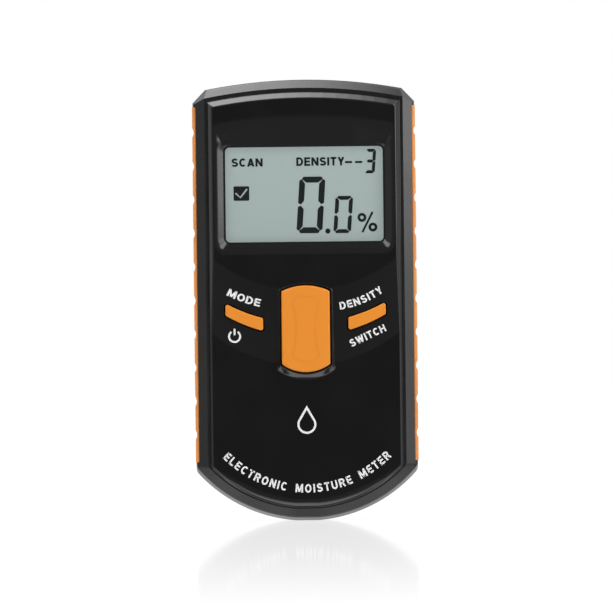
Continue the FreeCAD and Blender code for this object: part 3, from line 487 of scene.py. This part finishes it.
# Plain block capitals as centre lines on a body one unit tall: (width, lines).
CAPITALS = {
    "A": (0.78, [[(0.10, 0), (0.39, 0.98)], [(0.68, 0), (0.39, 0.98)], [(0.20, 0.27), (0.58, 0.27)]]),
    "C": (0.74, [bow(0.39, 0.5, 0.28, 0.40, 45, 315)]),
    "D": (0.74, [[(0.1, 0), (0.1, 1)],
                 [(0.1, 0.9), (0.32, 0.9)] + bow(0.32, 0.5, 0.31, 0.40, 80, -80)
                 + [(0.32, 0.1), (0.1, 0.1)]]),
    "E": (0.64, [[(0.1, 0), (0.1, 1)], [(0, 0.9), (0.64, 0.9)], [(0, 0.51), (0.60, 0.51)],
                 [(0, 0.1), (0.64, 0.1)]]),
    "G": (0.78, [bow(0.39, 0.5, 0.28, 0.40, 48, 340), [(0.42, 0.42), (0.76, 0.42)],
                 [(0.68, 0.48), (0.68, 0.04)]]),
    "H": (0.74, [[(0.1, 0), (0.1, 1)], [(0.64, 0), (0.64, 1)], [(0.1, 0.52), (0.64, 0.52)]]),
    "I": (0.20, [[(0.1, 0), (0.1, 1)]]),
    "L": (0.60, [[(0.1, 0), (0.1, 1)], [(0, 0.1), (0.60, 0.1)]]),
    "M": (0.92, [[(0.1, 0), (0.1, 1)], [(0.82, 0), (0.82, 1)], [(0.15, 0.95), (0.46, 0.08)],
                 [(0.77, 0.95), (0.46, 0.08)]]),
    "N": (0.76, [[(0.1, 0), (0.1, 1)], [(0.66, 0), (0.66, 1)], [(0.14, 0.92), (0.62, 0.08)]]),
    "O": (0.80, [bow(0.40, 0.5, 0.30, 0.40, 0, 360)]),
    "R": (0.74, [[(0.1, 0), (0.1, 1)],
                 [(0.1, 0.9), (0.40, 0.9)] + bow(0.40, 0.69, 0.21, 0.21, 80, -80)
                 + [(0.40, 0.48), (0.1, 0.48)],
                 [(0.40, 0.50), (0.63, 0)]]),
    "S": (0.70, [bow(0.35, 0.705, 0.23, 0.195, 20, 255) + bow(0.35, 0.295, 0.25, 0.195, 75, -160)]),
    "T": (0.66, [[(0, 0.9), (0.66, 0.9)], [(0.33, 0), (0.33, 1)]]),
    "U": (0.74, [[(0.1, 1), (0.1, 0.38)] + bow(0.37, 0.38, 0.27, 0.28, 180, 360)
                 + [(0.64, 0.38), (0.64, 1)]]),
    "W": (1.02, [[(0.09, 1), (0.29, 0.02)], [(0.29, 0.02), (0.51, 0.97)], [(0.51, 0.97), (0.73, 0.02)],
                 [(0.73, 0.02), (0.93, 1)]]),
    "Y": (0.72, [[(0.10, 1), (0.36, 0.42)], [(0.62, 1), (0.36, 0.42)], [(0.36, 0), (0.36, 0.50)]]),
}


def lines_mesh(name, paths, width):
    """A mesh one unit thick of even lines along paths, each line its own closed solid."""
    vertices, faces = [], []
    for path in paths:
        outline = stroke(path, width)
        count = len(path)
        left, right = outline[:count], outline[count:][::-1]
        first = len(vertices)
        for (left_x, left_z), (right_x, right_z) in zip(left, right):
            for level in (-0.5, 0.5):
                vertices.append((left_x, left_z, level))
                vertices.append((right_x, right_z, level))
        step = 4
        for index in range(count - 1):
            ring = first + step * index
            back_left, back_right, front_left, front_right = range(ring, ring + step)
            faces += [
                (front_left, front_right, front_right + step, front_left + step),
                (back_right, back_left, back_left + step, back_right + step),
                (back_left, front_left, front_left + step, back_left + step),
                (front_right, back_right, back_right + step, front_right + step),
            ]
        last = first + step * (count - 1)
        faces += [(first, first + 1, first + 3, first + 2), (last, last + 2, last + 3, last + 1)]
    mesh = bpy.data.meshes.new(name)
    mesh.from_pydata(vertices, [], faces)
    return mesh


def lettering(name, words, height, width, weight, gap=0.14, space=0.55):
    """Words in block capitals, their box centred, height by width in millimetres."""
    paths, cursor = [], 0.0
    for letter in words:
        if letter == " ":
            cursor += space
            continue
        advance, strokes = CAPITALS[letter]
        paths += [[(x + cursor, z) for x, z in path] for path in strokes]
        cursor += advance + gap
    length = cursor - gap
    mesh = lines_mesh(name, paths, weight)
    for vertex in mesh.vertices:
        vertex.co.x = (vertex.co.x / length - 0.5) * width
        vertex.co.y = (vertex.co.y - 0.5) * height
    return mesh


def segments(lit, left, bottom, width, height, bar, gap, slant):
    """Mitred seven-segment bars of one slanted digit. lit names the bars with letters a to g."""
    middle, half = height / 2, bar / 2
    upper, lower = height - bar, bar
    corner, mitre, tip = 0.55 * bar, 0.35 * bar, 0.2 * bar
    outlines = {
        "a": [(mitre, height - mitre), (corner, height), (width - corner, height),
              (width - mitre, height - mitre), (width - bar, upper), (bar, upper)],
        "d": [(mitre, mitre), (bar, lower), (width - bar, lower),
              (width - mitre, mitre), (width - corner, 0), (corner, 0)],
        "f": [(0, height - corner), (mitre, height - mitre), (bar, upper),
              (bar, middle + half), (half, middle), (0, middle + tip)],
        "e": [(0, corner), (0, middle - tip), (half, middle), (bar, middle - half),
              (bar, lower), (mitre, mitre)],
        "g": [(half, middle), (bar, middle + half), (width - bar, middle + half),
              (width - half, middle), (width - bar, middle - half), (bar, middle - half)],
    }
    for left_bar, right_bar in (("f", "b"), ("e", "c")):
        outlines[right_bar] = [(width - x, z) for x, z in outlines[left_bar]]
    loops = []
    for letter in lit:
        outline = outlines[letter]
        centre = Vector((sum(x for x, z in outline), sum(z for x, z in outline))) / len(outline)
        loop = []
        for x, z in outline:
            x += math.copysign(min(gap / 2, abs(centre.x - x)), centre.x - x)
            z += math.copysign(min(gap / 2, abs(centre.y - z)), centre.y - z)
            loop.append((left + x + slant * z, bottom + z))
        loops.append(loop)
    return loops


# ---------------------------------------------------------------- display contents

def draw_display():
    """The lit marks of the display, on the front of its glass."""
    low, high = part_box("display_window")
    right = high.x / MM
    top = high.z / MM
    bottom = low.z / MM
    ink = 0.03 * MM
    glass_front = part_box("lcd_glass")[0].y

    def depth(x, z):
        return glass_front

    def marks(name, mesh, centre=(0.0, 0.0)):
        lay_on(mesh, name, "lcd_ink", depth, turned(*centre, 0), 0.02 * MM, ink)

    words_z, weight = top - 4.8, 0.235
    scan = lettering("lcd_scan", "SCAN", height=2.6, width=9.8, weight=weight)
    marks("lcd_scan", scan, (-right + 6.95, words_z))
    density = lettering("lcd_density", "DENSITY", height=2.65, width=15.2, weight=weight)
    marks("lcd_density", density, (right - 19.8, words_z + 0.1))

    dash, dash_length, dash_z, dash_round = 0.68, 2.3, top - 5.0, 0.15
    dashes = []
    for dash_right in (right - 9.7, right - 6.5):
        dashes.append(rounded_box(dash_right - dash_length, dash_z - dash / 2,
                                  dash_right, dash_z + dash / 2, dash_round))
    marks("lcd_dashes", flat_shape("lcd_dashes", dashes))
    level = segments("abgcd", left=right - 5.95, bottom=top - 8.65, width=3.4, height=7.8,
                     bar=1.05, gap=0.06, slant=0.07)
    marks("lcd_level", flat_shape("lcd_level", level))

    digits = segments("abcdef", left=-2.85, bottom=bottom + 2.5, width=8.6, height=18.3,
                      bar=2.25, gap=0.36, slant=0.068)
    digits += segments("abcdef", left=8.9, bottom=bottom + 2.45, width=5.9, height=12.1,
                       bar=1.55, gap=0.3, slant=0.072)
    point_centre, point_radius = (7.35, bottom + 3.3), 0.82
    digits.append(circle(point_centre, point_radius))
    marks("lcd_digits", flat_shape("lcd_digits", digits))

    ring, hole, slash = 1.42, 0.55, 0.66
    percent = []
    for centre in ((18.2, bottom + 7.5), (21.65, bottom + 4.4)):
        percent += [circle(centre, ring), circle(centre, hole)]
    percent.append(stroke([(18.3, bottom + 2.8), (21.6, bottom + 9.25)], slash))
    marks("lcd_percent", flat_shape("lcd_percent", percent))

    box_left, box_bottom, box_width, box_height, box_round = -right + 2.55, top - 16.9, 5.0, 4.6, 0.45
    box = rounded_box(box_left, box_bottom, box_left + box_width, box_bottom + box_height, box_round)
    tick_weight = 0.5
    tick = stroke([(box_left + 0.65, box_bottom + 2.45), (box_left + 2.15, box_bottom + 1.0),
                   (box_left + 4.3, box_bottom + 3.7)], tick_weight)
    marks("lcd_tick_box", flat_shape("lcd_tick_box", [box, tick]))


# ---------------------------------------------------------------- printed labels

def draw_labels(plate):
    """White printing on the front of the face plate."""
    face = front_of(plate.data)
    ink, sunk = 0.035 * MM, -0.01 * MM
    capital, bold = 2.4, 0.205

    def label(name, mesh, bend):
        lay_on(mesh, name, "ink_white", face, bend, sunk, ink)

    mode = lettering("label_mode", "MODE", capital, 10.9, bold)
    label("label_mode", mode, around(-4.35, 113.05, radius=45.0, turn=-19.7))
    density = lettering("label_density", "DENSITY", capital, 14.4, bold, gap=0.18)
    label("label_density", density, around(6.1, 99.45, radius=31.8, turn=21.5))
    switch = lettering("label_switch", "SWITCH", capital, 12.2, bold, gap=0.18)
    label("label_switch", switch, turned(19.55, 58.5, tilt=24.5))
    words = lettering("label_arc", "ELECTRONIC MOISTURE METER", height=2.7, width=57.5, weight=0.2,
                      gap=0.24, space=0.85)
    label("label_arc", words, around(0.0, 46.5, radius=36.2))

    power_radius, line = 1.75, 0.6
    bar = [(0, 0.4), (0, 2.45)]
    ring = arc_points((0, 0), power_radius, 125, 415, 36)
    label("label_power", lines_mesh("label_power", [ring, bar], line), turned(-22.6, 58.7, 0))
    drop = [droplet(radius=3.0, tip=4.6), droplet(radius=2.35, tip=3.55)]
    label("label_droplet", flat_shape("label_droplet", drop), turned(0, 30.6, 0))


def emboss_button():
    """A faint raised line on the measure button: two soft lobes that meet at a waist."""
    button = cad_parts["measure_button"]
    crown = front_of(button.data)
    low, high = (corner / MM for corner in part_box("measure_button"))
    middle = (low.z + high.z) / 2
    reach, waist, half, squareness, line, relief = 4.9, 2.9, 10.4, 1.7, 0.42, 0.055 * MM
    path = []
    count = 96
    for index in range(count + 1):
        angle = 2 * math.pi * index / count
        pinch = waist + (reach - waist) * (1 - math.cos(2 * angle)) / 2
        side = math.copysign(min(1.0, abs(math.cos(angle)) * squareness), math.cos(angle))
        path.append((pinch * side, middle + half * math.sin(angle)))
    mesh = lines_mesh("button_emboss", [path], line)
    lay_on(mesh, "button_emboss", "button_orange", crown, turned(0, 0, 0), -0.02 * MM, relief,
           "measure_button")


def droplet(radius, tip):
    """A falling-drop outline: a round belly whose sides run straight up to a tip above its centre."""
    apex = tip + radius * 0.45
    touch = math.degrees(math.acos(radius / apex))
    return arc_points((0, 0), radius, 90 + touch, 450 - touch, 40) + [(0, apex)]


# ---------------------------------------------------------------- face plate

PLATEAU = -14.0
LOWER_FACE = -12.9
RIM_LEVEL = -11.8
WINDOW_LEVEL = -12.7
COLLAR_LEVEL = -14.12
STEP_RADIUS = 47.0
STEP_TOP = 73.2
STEP_DROP = 24.1
EDGE_CLEARANCE = 0.1


def boundary_loops(mesh, level):
    """The closed outlines, in (x, z) millimetres, of the flat faces of a mesh at one depth."""
    uses = {}
    for face in mesh.polygons:
        if all(abs(mesh.vertices[index].co.y / MM - level) < 0.01 for index in face.vertices):
            for edge in face.edge_keys:
                ends = [mesh.vertices[index].co for index in edge]
                key = frozenset((round(end.x / MM, 3), round(end.z / MM, 3)) for end in ends)
                uses[key] = uses.get(key, 0) + 1
    links = {}
    for key, count in uses.items():
        if count == 1 and len(key) == 2:
            first, second = key
            links.setdefault(first, []).append(second)
            links.setdefault(second, []).append(first)
    loops = []
    while links:
        start = min(links)
        loop, here, before = [], start, None
        while here in links:
            loop.append(here)
            following = [point for point in links.pop(here) if point != before and point in links]
            before, here = here, following[0] if following else start
        loops.append(numpy.array(loop))
    return sorted(loops, key=lambda loop: -numpy.ptp(loop[:, 1]) * numpy.ptp(loop[:, 0]))


def resampled(loop, spacing):
    """The closed outline with extra points, so that none is further than spacing from the next."""
    points = []
    for start, end in zip(loop, numpy.roll(loop, -1, 0)):
        count = max(1, math.ceil(numpy.linalg.norm(end - start) / spacing))
        points += [start + (end - start) * index / count for index in range(count)]
    return numpy.array(points)


def nearest(points, loop):
    """Distance from each point to a closed outline, and the unit direction to there."""
    start = loop
    along = numpy.roll(loop, -1, 0) - loop
    length_squared = (along ** 2).sum(1)
    distance, direction = numpy.empty(len(points)), numpy.empty((len(points), 2))
    batch = 2000
    for first in range(0, len(points), batch):
        some = points[first:first + batch, None, :]
        share = (((some - start) * along).sum(2) / length_squared).clip(0, 1)
        gap = start + share[..., None] * along - some
        size = numpy.sqrt((gap ** 2).sum(2))
        best = size.argmin(1)
        rows = numpy.arange(len(best))
        distance[first:first + batch] = size[rows, best]
        direction[first:first + batch] = gap[rows, best] / numpy.maximum(size[rows, best], 1e-9)[:, None]
    return distance, direction


def inside(points, loop):
    result = numpy.zeros(len(points), bool)
    x, z = points[:, 0], points[:, 1]
    for (x0, z0), (x1, z1) in zip(loop, numpy.roll(loop, -1, 0)):
        if z0 != z1:
            crosses = (z0 > z) != (z1 > z)
            result ^= crosses & (x < x0 + (z - z0) * (x1 - x0) / (z1 - z0))
    return result


def in_material(points, loops):
    """Which points are within the first outline and outside all the others."""
    solid = inside(points, loops[0])
    for loop in loops[1:]:
        solid &= ~inside(points, loop)
    return solid


def eased(value, start, end):
    share = ((value - start) / (end - start)).clip(0, 1)
    return share * share * (3 - 2 * share)


def deeper(first, second, softness):
    """The deeper of two surfaces, with the ridge between them rounded off."""
    overlap = (softness - abs(first - second)).clip(0) / softness
    return numpy.maximum(first, second) + overlap ** 2 * softness / 4


def prouder(first, second, softness):
    return -deeper(-first, -second, softness)


def scoop_edge(x):
    """Height of the upper edge of the display recess: a shallow arch over the window."""
    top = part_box("display_window")[1] / MM
    half, side_z, apex = top.x + 1.3, top.z + 6.8, top.z + 9.0
    return side_z + (apex - side_z) * (1 - (x / half) ** 2)


def recess_rim():
    """Outline of the display recess: even margins at the sides and below, an arch above."""
    low, high = (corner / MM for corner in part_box("display_window"))
    side, bottom, corner = high.x + 2.9, low.z - 3.0, 3.0
    right = arc_points((side - corner, bottom + corner), corner, -90, 0, 10)
    right += [(side, high.z + 4.6), (side - 0.3, high.z + 5.6), (side - 0.9, high.z + 6.3)]
    inner = numpy.linspace(side - 1.6, 0.0, 16, endpoint=False)
    right += list(zip(inner, scoop_edge(inner)))
    left = [(-x, z) for x, z in right[::-1]]
    return numpy.array(right + [(0.0, high.z + 9.0)] + left)


def step_line(x):
    """Height at which the face starts to slope back: a wide arc, lowest in the middle."""
    return STEP_TOP + STEP_RADIUS - numpy.sqrt(STEP_RADIUS ** 2 - x ** 2)


def plate_depth(points, outer, window, button, rim):
    """How far back the front of the face plate is at each (x, z)."""
    x, z = points[:, 0], points[:, 1]
    fallen = ((step_line(x) - z) / STEP_DROP).clip(0, 1)
    level = PLATEAU + (LOWER_FACE - PLATEAU) * fallen

    gap, direction = nearest(points, button)
    below = eased(direction[:, 1], 0.25, 0.90)
    land, fall = 0.22, 1.42
    middle = below * (1 - (x / button[:, 0].max()) ** 2).clip(0)
    steepness = fall / (0.5 + 1.3 * below) * (1 - middle) + 0.28 * middle
    collar = COLLAR_LEVEL + 0.85 * middle + steepness * (gap - land).clip(0)
    level = prouder(level, collar, 0.18)

    from_window, _ = nearest(points, window)
    to_rim, _ = nearest(points, rim)
    to_rim = numpy.where(inside(points, rim), to_rim, -to_rim)
    share = from_window / numpy.maximum(from_window + to_rim, 0.5)
    half, top = window.max(0)
    sideways = (abs(x) - half) / (rim[:, 0].max() - half)
    upwards = (z - top) / (scoop_edge(x) - top)
    above = eased(z, top, top + 2.0)
    share = share * (1 - above) + deeper(sideways, upwards, 0.35) * above
    wall = WINDOW_LEVEL + (PLATEAU - WINDOW_LEVEL) * share
    level = deeper(level, wall, 0.45)

    edge, direction = nearest(points, outer)
    at_side = abs(outer[:, 0]) > 0.99 * outer[:, 0].max()
    corner_z = outer[at_side, 1].min()
    upward, downward = direction[:, 1].clip(0), eased(z, corner_z + 1.0, corner_z - 7.0)
    rise = PLATEAU - RIM_LEVEL
    chamfer = RIM_LEVEL + rise * edge / (1.5 + 0.4 * upward)
    roll_width = 1.6 + 1.4 * downward
    turned_share = ((roll_width - edge) / roll_width).clip(0, 1)
    roll = level + (RIM_LEVEL - level) * (1 - numpy.sqrt(1 - turned_share ** 2))
    straight = deeper(level, chamfer, 0.35)
    return straight + (roll - straight) * downward


def offset_rows(loop, spacing, distances, side):
    """Rows of points beside an outline. side is 1 for its inside and -1 for its outside."""
    dense = resampled(loop, spacing)
    along = numpy.roll(dense, -1, 0) - numpy.roll(dense, 1, 0)
    normal = numpy.stack((-along[:, 1], along[:, 0]), 1) / numpy.linalg.norm(along, axis=1)[:, None]
    probe = dense + normal * 0.01
    if inside(probe, loop).mean() < 0.5:
        normal = -normal
    rows = []
    for distance in distances:
        row = dense + normal * distance * side
        away, _ = nearest(row, loop)
        rows.append(row[away > distance * 0.97])
    return numpy.concatenate(rows)


def build_face_plate():
    """The glossy front as one fine mesh: soft rim, stepped face, display recess and button collar."""
    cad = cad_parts["face_plate"].data
    back = max(vertex.co.y for vertex in cad.vertices) / MM
    loops = boundary_loops(cad, back)
    outer, window, button = loops[0], loops[1], loops[2]
    rim = recess_rim()
    fine = [resampled(loop, 0.4) for loop in loops]

    spacing = 0.9
    low, high = outer.min(0), outer.max(0)
    columns, rows = numpy.meshgrid(numpy.arange(low[0], high[0], spacing),
                                   numpy.arange(low[1], high[1], spacing))
    grid = numpy.stack((columns.ravel(), rows.ravel()), 1)
    grid[:, 0] += (numpy.arange(len(grid)) // columns.shape[1] % 2) * spacing / 2
    arcs = []
    x = numpy.arange(-30.0, 30.0, 0.5)
    for drop in (0.0, STEP_DROP):
        for offset in (-0.2, 0.0, 0.2):
            arcs.append(numpy.stack((x, step_line(x) - drop + offset), 1))
    extra = numpy.concatenate([
        offset_rows(outer, 0.4, numpy.arange(0.15, 3.1, 0.15), 1),
        offset_rows(window, 0.45, numpy.arange(0.35, 2.4, 0.35), -1),
        offset_rows(rim, 0.45, (-0.5, -0.3, -0.15, 0.001, 0.15, 0.3, 0.5), 1),
        offset_rows(button, 0.35, numpy.arange(0.15, 2.7, 0.15), -1),
    ] + arcs)
    close, _ = nearest(grid, outer)
    grid = grid[close > 3.0]

    inner = numpy.concatenate([extra, grid])
    keep = in_material(inner, loops)
    for loop in loops:
        keep &= nearest(inner, loop)[0] > EDGE_CLEARANCE
    inner = inner[keep]
    border = numpy.concatenate(fine)
    points = [Vector(point) for point in numpy.concatenate([border, inner])]
    edges, first = [], 0
    for loop in fine:
        edges += [(first + index, first + (index + 1) % len(loop)) for index in range(len(loop))]
        first += len(loop)
    flat, _, triangles, *_ = delaunay_2d_cdt(points, edges, [], 0, 1e-4)
    flat = numpy.array([tuple(point) for point in flat])
    triangles = numpy.array(triangles)
    triangles = triangles[in_material(flat[triangles].mean(1), loops)]

    def depth_at(points):
        return plate_depth(points, outer, window, button, rim)

    depth = depth_at(flat)
    nudge = 0.06
    lean_x = (depth_at(flat + (nudge, 0)) - depth_at(flat - (nudge, 0))) / (2 * nudge)
    lean_z = (depth_at(flat + (0, nudge)) - depth_at(flat - (0, nudge))) / (2 * nudge)
    normals = numpy.stack((lean_x, -numpy.ones(len(flat)), lean_z), 1)
    vertices = numpy.stack((flat[:, 0], depth, flat[:, 1]), 1)
    faces = [tuple(int(index) for index in face) for face in triangles]
    faces = [face if wound_forward(flat[list(face)]) else face[::-1] for face in faces]

    back_vertices = vertices.copy()
    back_vertices[:, 1] = back
    count = len(vertices)
    all_vertices = [vertices, back_vertices]
    all_normals = [normals, numpy.tile((0.0, 1.0, 0.0), (count, 1))]
    faces += [tuple(index + count for index in face[::-1]) for face in faces]
    total = 2 * count
    for loop in fine:
        wall = numpy.tile(loop, (2, 1))
        level = numpy.concatenate([depth_at(loop), numpy.full(len(loop), back)])
        along = numpy.roll(loop, -1, 0) - numpy.roll(loop, 1, 0)
        outward = numpy.stack((along[:, 1], -along[:, 0]), 1)
        outward /= numpy.linalg.norm(outward, axis=1)[:, None]
        if in_material(loop + outward * 0.05, loops).mean() > 0.5:
            outward = -outward
        size = len(loop)
        all_vertices.append(numpy.stack((wall[:, 0], level, wall[:, 1]), 1))
        sideways, upwards = numpy.tile(outward, (2, 1)).T
        all_normals.append(numpy.stack((sideways, numpy.zeros(2 * size), upwards), 1))
        for index in range(size):
            after = (index + 1) % size
            quad = (total + index, total + after, total + size + after, total + size + index)
            edge_normal = numpy.array((loop[after][1] - loop[index][1], -(loop[after][0] - loop[index][0])))
            faces.append(quad if edge_normal @ outward[index] < 0 else quad[::-1])
        total += 2 * size

    mesh = bpy.data.meshes.new("face_plate_front")
    mesh.from_pydata((numpy.concatenate(all_vertices) * MM).tolist(), [], faces)
    mesh.update()
    all_normals = numpy.concatenate(all_normals)
    all_normals /= numpy.linalg.norm(all_normals, axis=1)[:, None]
    mesh.polygons.foreach_set("use_smooth", [True] * len(mesh.polygons))
    mesh.normals_split_custom_set_from_vertices(all_normals.tolist())
    mesh.materials.append(MATERIALS["face_black"])
    plate = bpy.data.objects.new("face_plate_front", mesh)
    bpy.context.scene.collection.objects.link(plate)
    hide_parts("face_plate")
    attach(plate, "case")
    return plate


def wound_forward(corners):
    """Whether a triangle in (x, z) faces the front once it is in the frame."""
    first, second = corners[1] - corners[0], corners[2] - corners[0]
    return first[0] * second[1] - first[1] * second[0] > 0


# ---------------------------------------------------------------- studio

def build_floor():
    """A pale, lightly polished light table: the eye sees it, and light passes up through it."""
    material = bpy.data.materials.new("floor_pale")
    tree = Tree(material)
    axes = tree.axes(tree.place())
    across_squared = tree.calculate("MULTIPLY", axes["X"], axes["X"])
    back_squared = tree.calculate("MULTIPLY", axes["Y"], axes["Y"])
    away = tree.calculate("SQRT", tree.calculate("ADD", across_squared, back_squared))
    brightness = tree.ramp(away, 0.25, 1.2, 0.94, 1.08)
    glow = tree.add_linked("Emission", Color=colour(1, 1, 1), Strength=brightness)
    matt = tree.add_linked("BsdfDiffuse", Color=colour(0.03, 0.03, 0.03))
    sheet = tree.add("AddShader")
    tree.tree.links.new(glow.outputs[0], sheet.inputs[0])
    tree.tree.links.new(matt.outputs[0], sheet.inputs[1])
    shine = tree.add_linked("BsdfGlossy", Color=colour(1, 1, 1), Roughness=0.05)
    mixed = tree.add("MixShader")
    tree.feed(mixed.inputs["Fac"], tree.ramp(away, 0.0, 1.1, 0.22, 0.0))
    tree.tree.links.new(sheet.outputs[0], mixed.inputs[1])
    tree.tree.links.new(shine.outputs[0], mixed.inputs[2])
    tree.output(mixed.outputs[0])

    radius = 4.0
    outline = [(x, y, 0.0) for x, y in circle((0, 0), radius, 96)]
    mesh = bpy.data.meshes.new("floor")
    mesh.from_pydata(outline, [], [tuple(range(len(outline)))])
    mesh.materials.append(material)
    floor = bpy.data.objects.new("floor", mesh)
    bpy.context.scene.collection.objects.link(floor)
    for kind in ("diffuse", "glossy", "transmission", "shadow"):
        setattr(floor, "visible_" + kind, False)


AMBIENT = 0.30


def pair(target, inner, outer, strength):
    """The same soft box on the right and on the left."""
    across, back, up = target
    return [((across, back, up), inner, outer, strength), ((-across, back, up), inner, outer, strength)]


# Soft boxes: direction, degrees of full strength, degrees where it ends, strength.
OVERHEAD = [((-0.45, 0.10, 1.0), 12, 39, 6.0)]
SIDES = [((0.90, -0.43, 0.05), 18, 32, 1.3), ((-0.90, -0.43, 0.05), 18, 34, 0.25)]
UPPER_CORNERS = pair((0.517, -0.682, 0.517), 8, 16, 4.4)
LOW_FRONT = [((0.0, -0.75, -0.66), 8, 20, 2.5)]
LOW_FRONT_CORNERS = pair((0.45, -0.72, -0.53), 8, 20, 1.3)
LOW_CORNERS = pair((0.66, -0.27, -0.70), 10, 22, 1.5)
UNDERNEATH = [((0.0, 0.0, -1.0), 4, 22, 0.4)]
LOW_SIDES = pair((0.40, 0.0, -0.91), 8, 24, 0.75)
BEHIND = [((0.0, 1.0, 0.0), 50, 85, 0.8)]
SOFT_BOXES = (OVERHEAD + SIDES + UPPER_CORNERS + LOW_FRONT + LOW_FRONT_CORNERS + LOW_CORNERS
              + UNDERNEATH + LOW_SIDES + BEHIND)


def build_sky():
    """A white backdrop for the camera, and a dim studio with broad soft boxes for everything else."""
    world = bpy.data.worlds.new("studio")
    bpy.context.scene.world = world
    tree = Tree(world)
    direction = tree.add("TexCoord").outputs["Generated"]

    def toward(target):
        node = tree.add("VectorMath", operation="DOT_PRODUCT")
        tree.feed(node.inputs[0], direction)
        node.inputs[1].default_value = Vector(target).normalized()
        return node.outputs["Value"]

    def lobe(target, inner, outer, strength):
        """Full strength within inner degrees of the target, none beyond outer degrees."""
        return tree.ramp(toward(target), math.cos(math.radians(outer)), math.cos(math.radians(inner)),
                         0.0, strength)

    light = AMBIENT
    for target, inner, outer, strength in SOFT_BOXES:
        light = tree.calculate("ADD", light, lobe(target, inner, outer, strength))
    dark_front = tree.ramp(toward((0, -1, 0)), math.cos(math.radians(7)), math.cos(math.radians(3)),
                           1.0, 0.45)
    light = tree.calculate("MULTIPLY", light, dark_front)
    camera_ray = tree.add("LightPath").outputs["Is Camera Ray"]
    strength = tree.add("Mix", data_type="FLOAT")
    tree.feed(strength.inputs["Factor"], camera_ray)
    tree.feed(strength.inputs["A"], light)
    tree.feed(strength.inputs["B"], 1.0)
    glow = tree.add_linked("Background", Color=colour(1, 1, 1), Strength=strength.outputs["Result"])
    tree.output(glow.outputs["Background"], world=True)


def build_side_light():
    """A soft box at the upper right, so close that the light on the right edge fades downwards."""
    distance, width, low_edge, high_edge = 300 * MM, 280 * MM, 95 * MM, 300 * MM
    aim = Vector((cad_high.x, cad_low.y, (low_edge + high_edge) / 2))
    outward = Vector((0.88, -0.47, 0.0)).normalized()
    data = bpy.data.lights.new("side_box", "AREA")
    data.shape = "RECTANGLE"
    data.size, data.size_y = width, high_edge - low_edge
    data.energy = 0.42
    light = bpy.data.objects.new("side_box", data)
    turn = outward.to_track_quat("Z", "Y").to_matrix().to_4x4()
    light.matrix_world = Matrix.Translation(aim + outward * distance) @ turn
    bpy.context.scene.collection.objects.link(light)
    light.visible_camera = False
    light.visible_transmission = False


def place_camera():
    """A long lens at the object's own height, level, with the slight roll of a hand-set product shot."""
    distance = 2.5
    frame_width = 193.8 * MM
    aim = Vector((0.14 * MM, cad_low.y, 68.1 * MM))
    roll = math.radians(0.65)
    data = bpy.data.cameras.new("camera")
    data.lens = data.sensor_width * distance / frame_width
    data.clip_start, data.clip_end = 0.1, 20.0
    camera = bpy.data.objects.new("camera", data)
    level = Matrix.Rotation(math.radians(90), 4, "X")
    camera.matrix_world = (Matrix.Translation(aim - Vector((0, distance, 0)))
                           @ Matrix.Rotation(roll, 4, "Y") @ level)
    bpy.context.scene.collection.objects.link(camera)
    bpy.context.scene.camera = camera


# ---------------------------------------------------------------- the scene

dress_cad_nodes()
draw_display()
draw_labels(build_face_plate())
emboss_button()
build_floor()
build_sky()
build_side_light()
place_camera()
bpy.context.scene.view_settings.view_transform = "Standard"
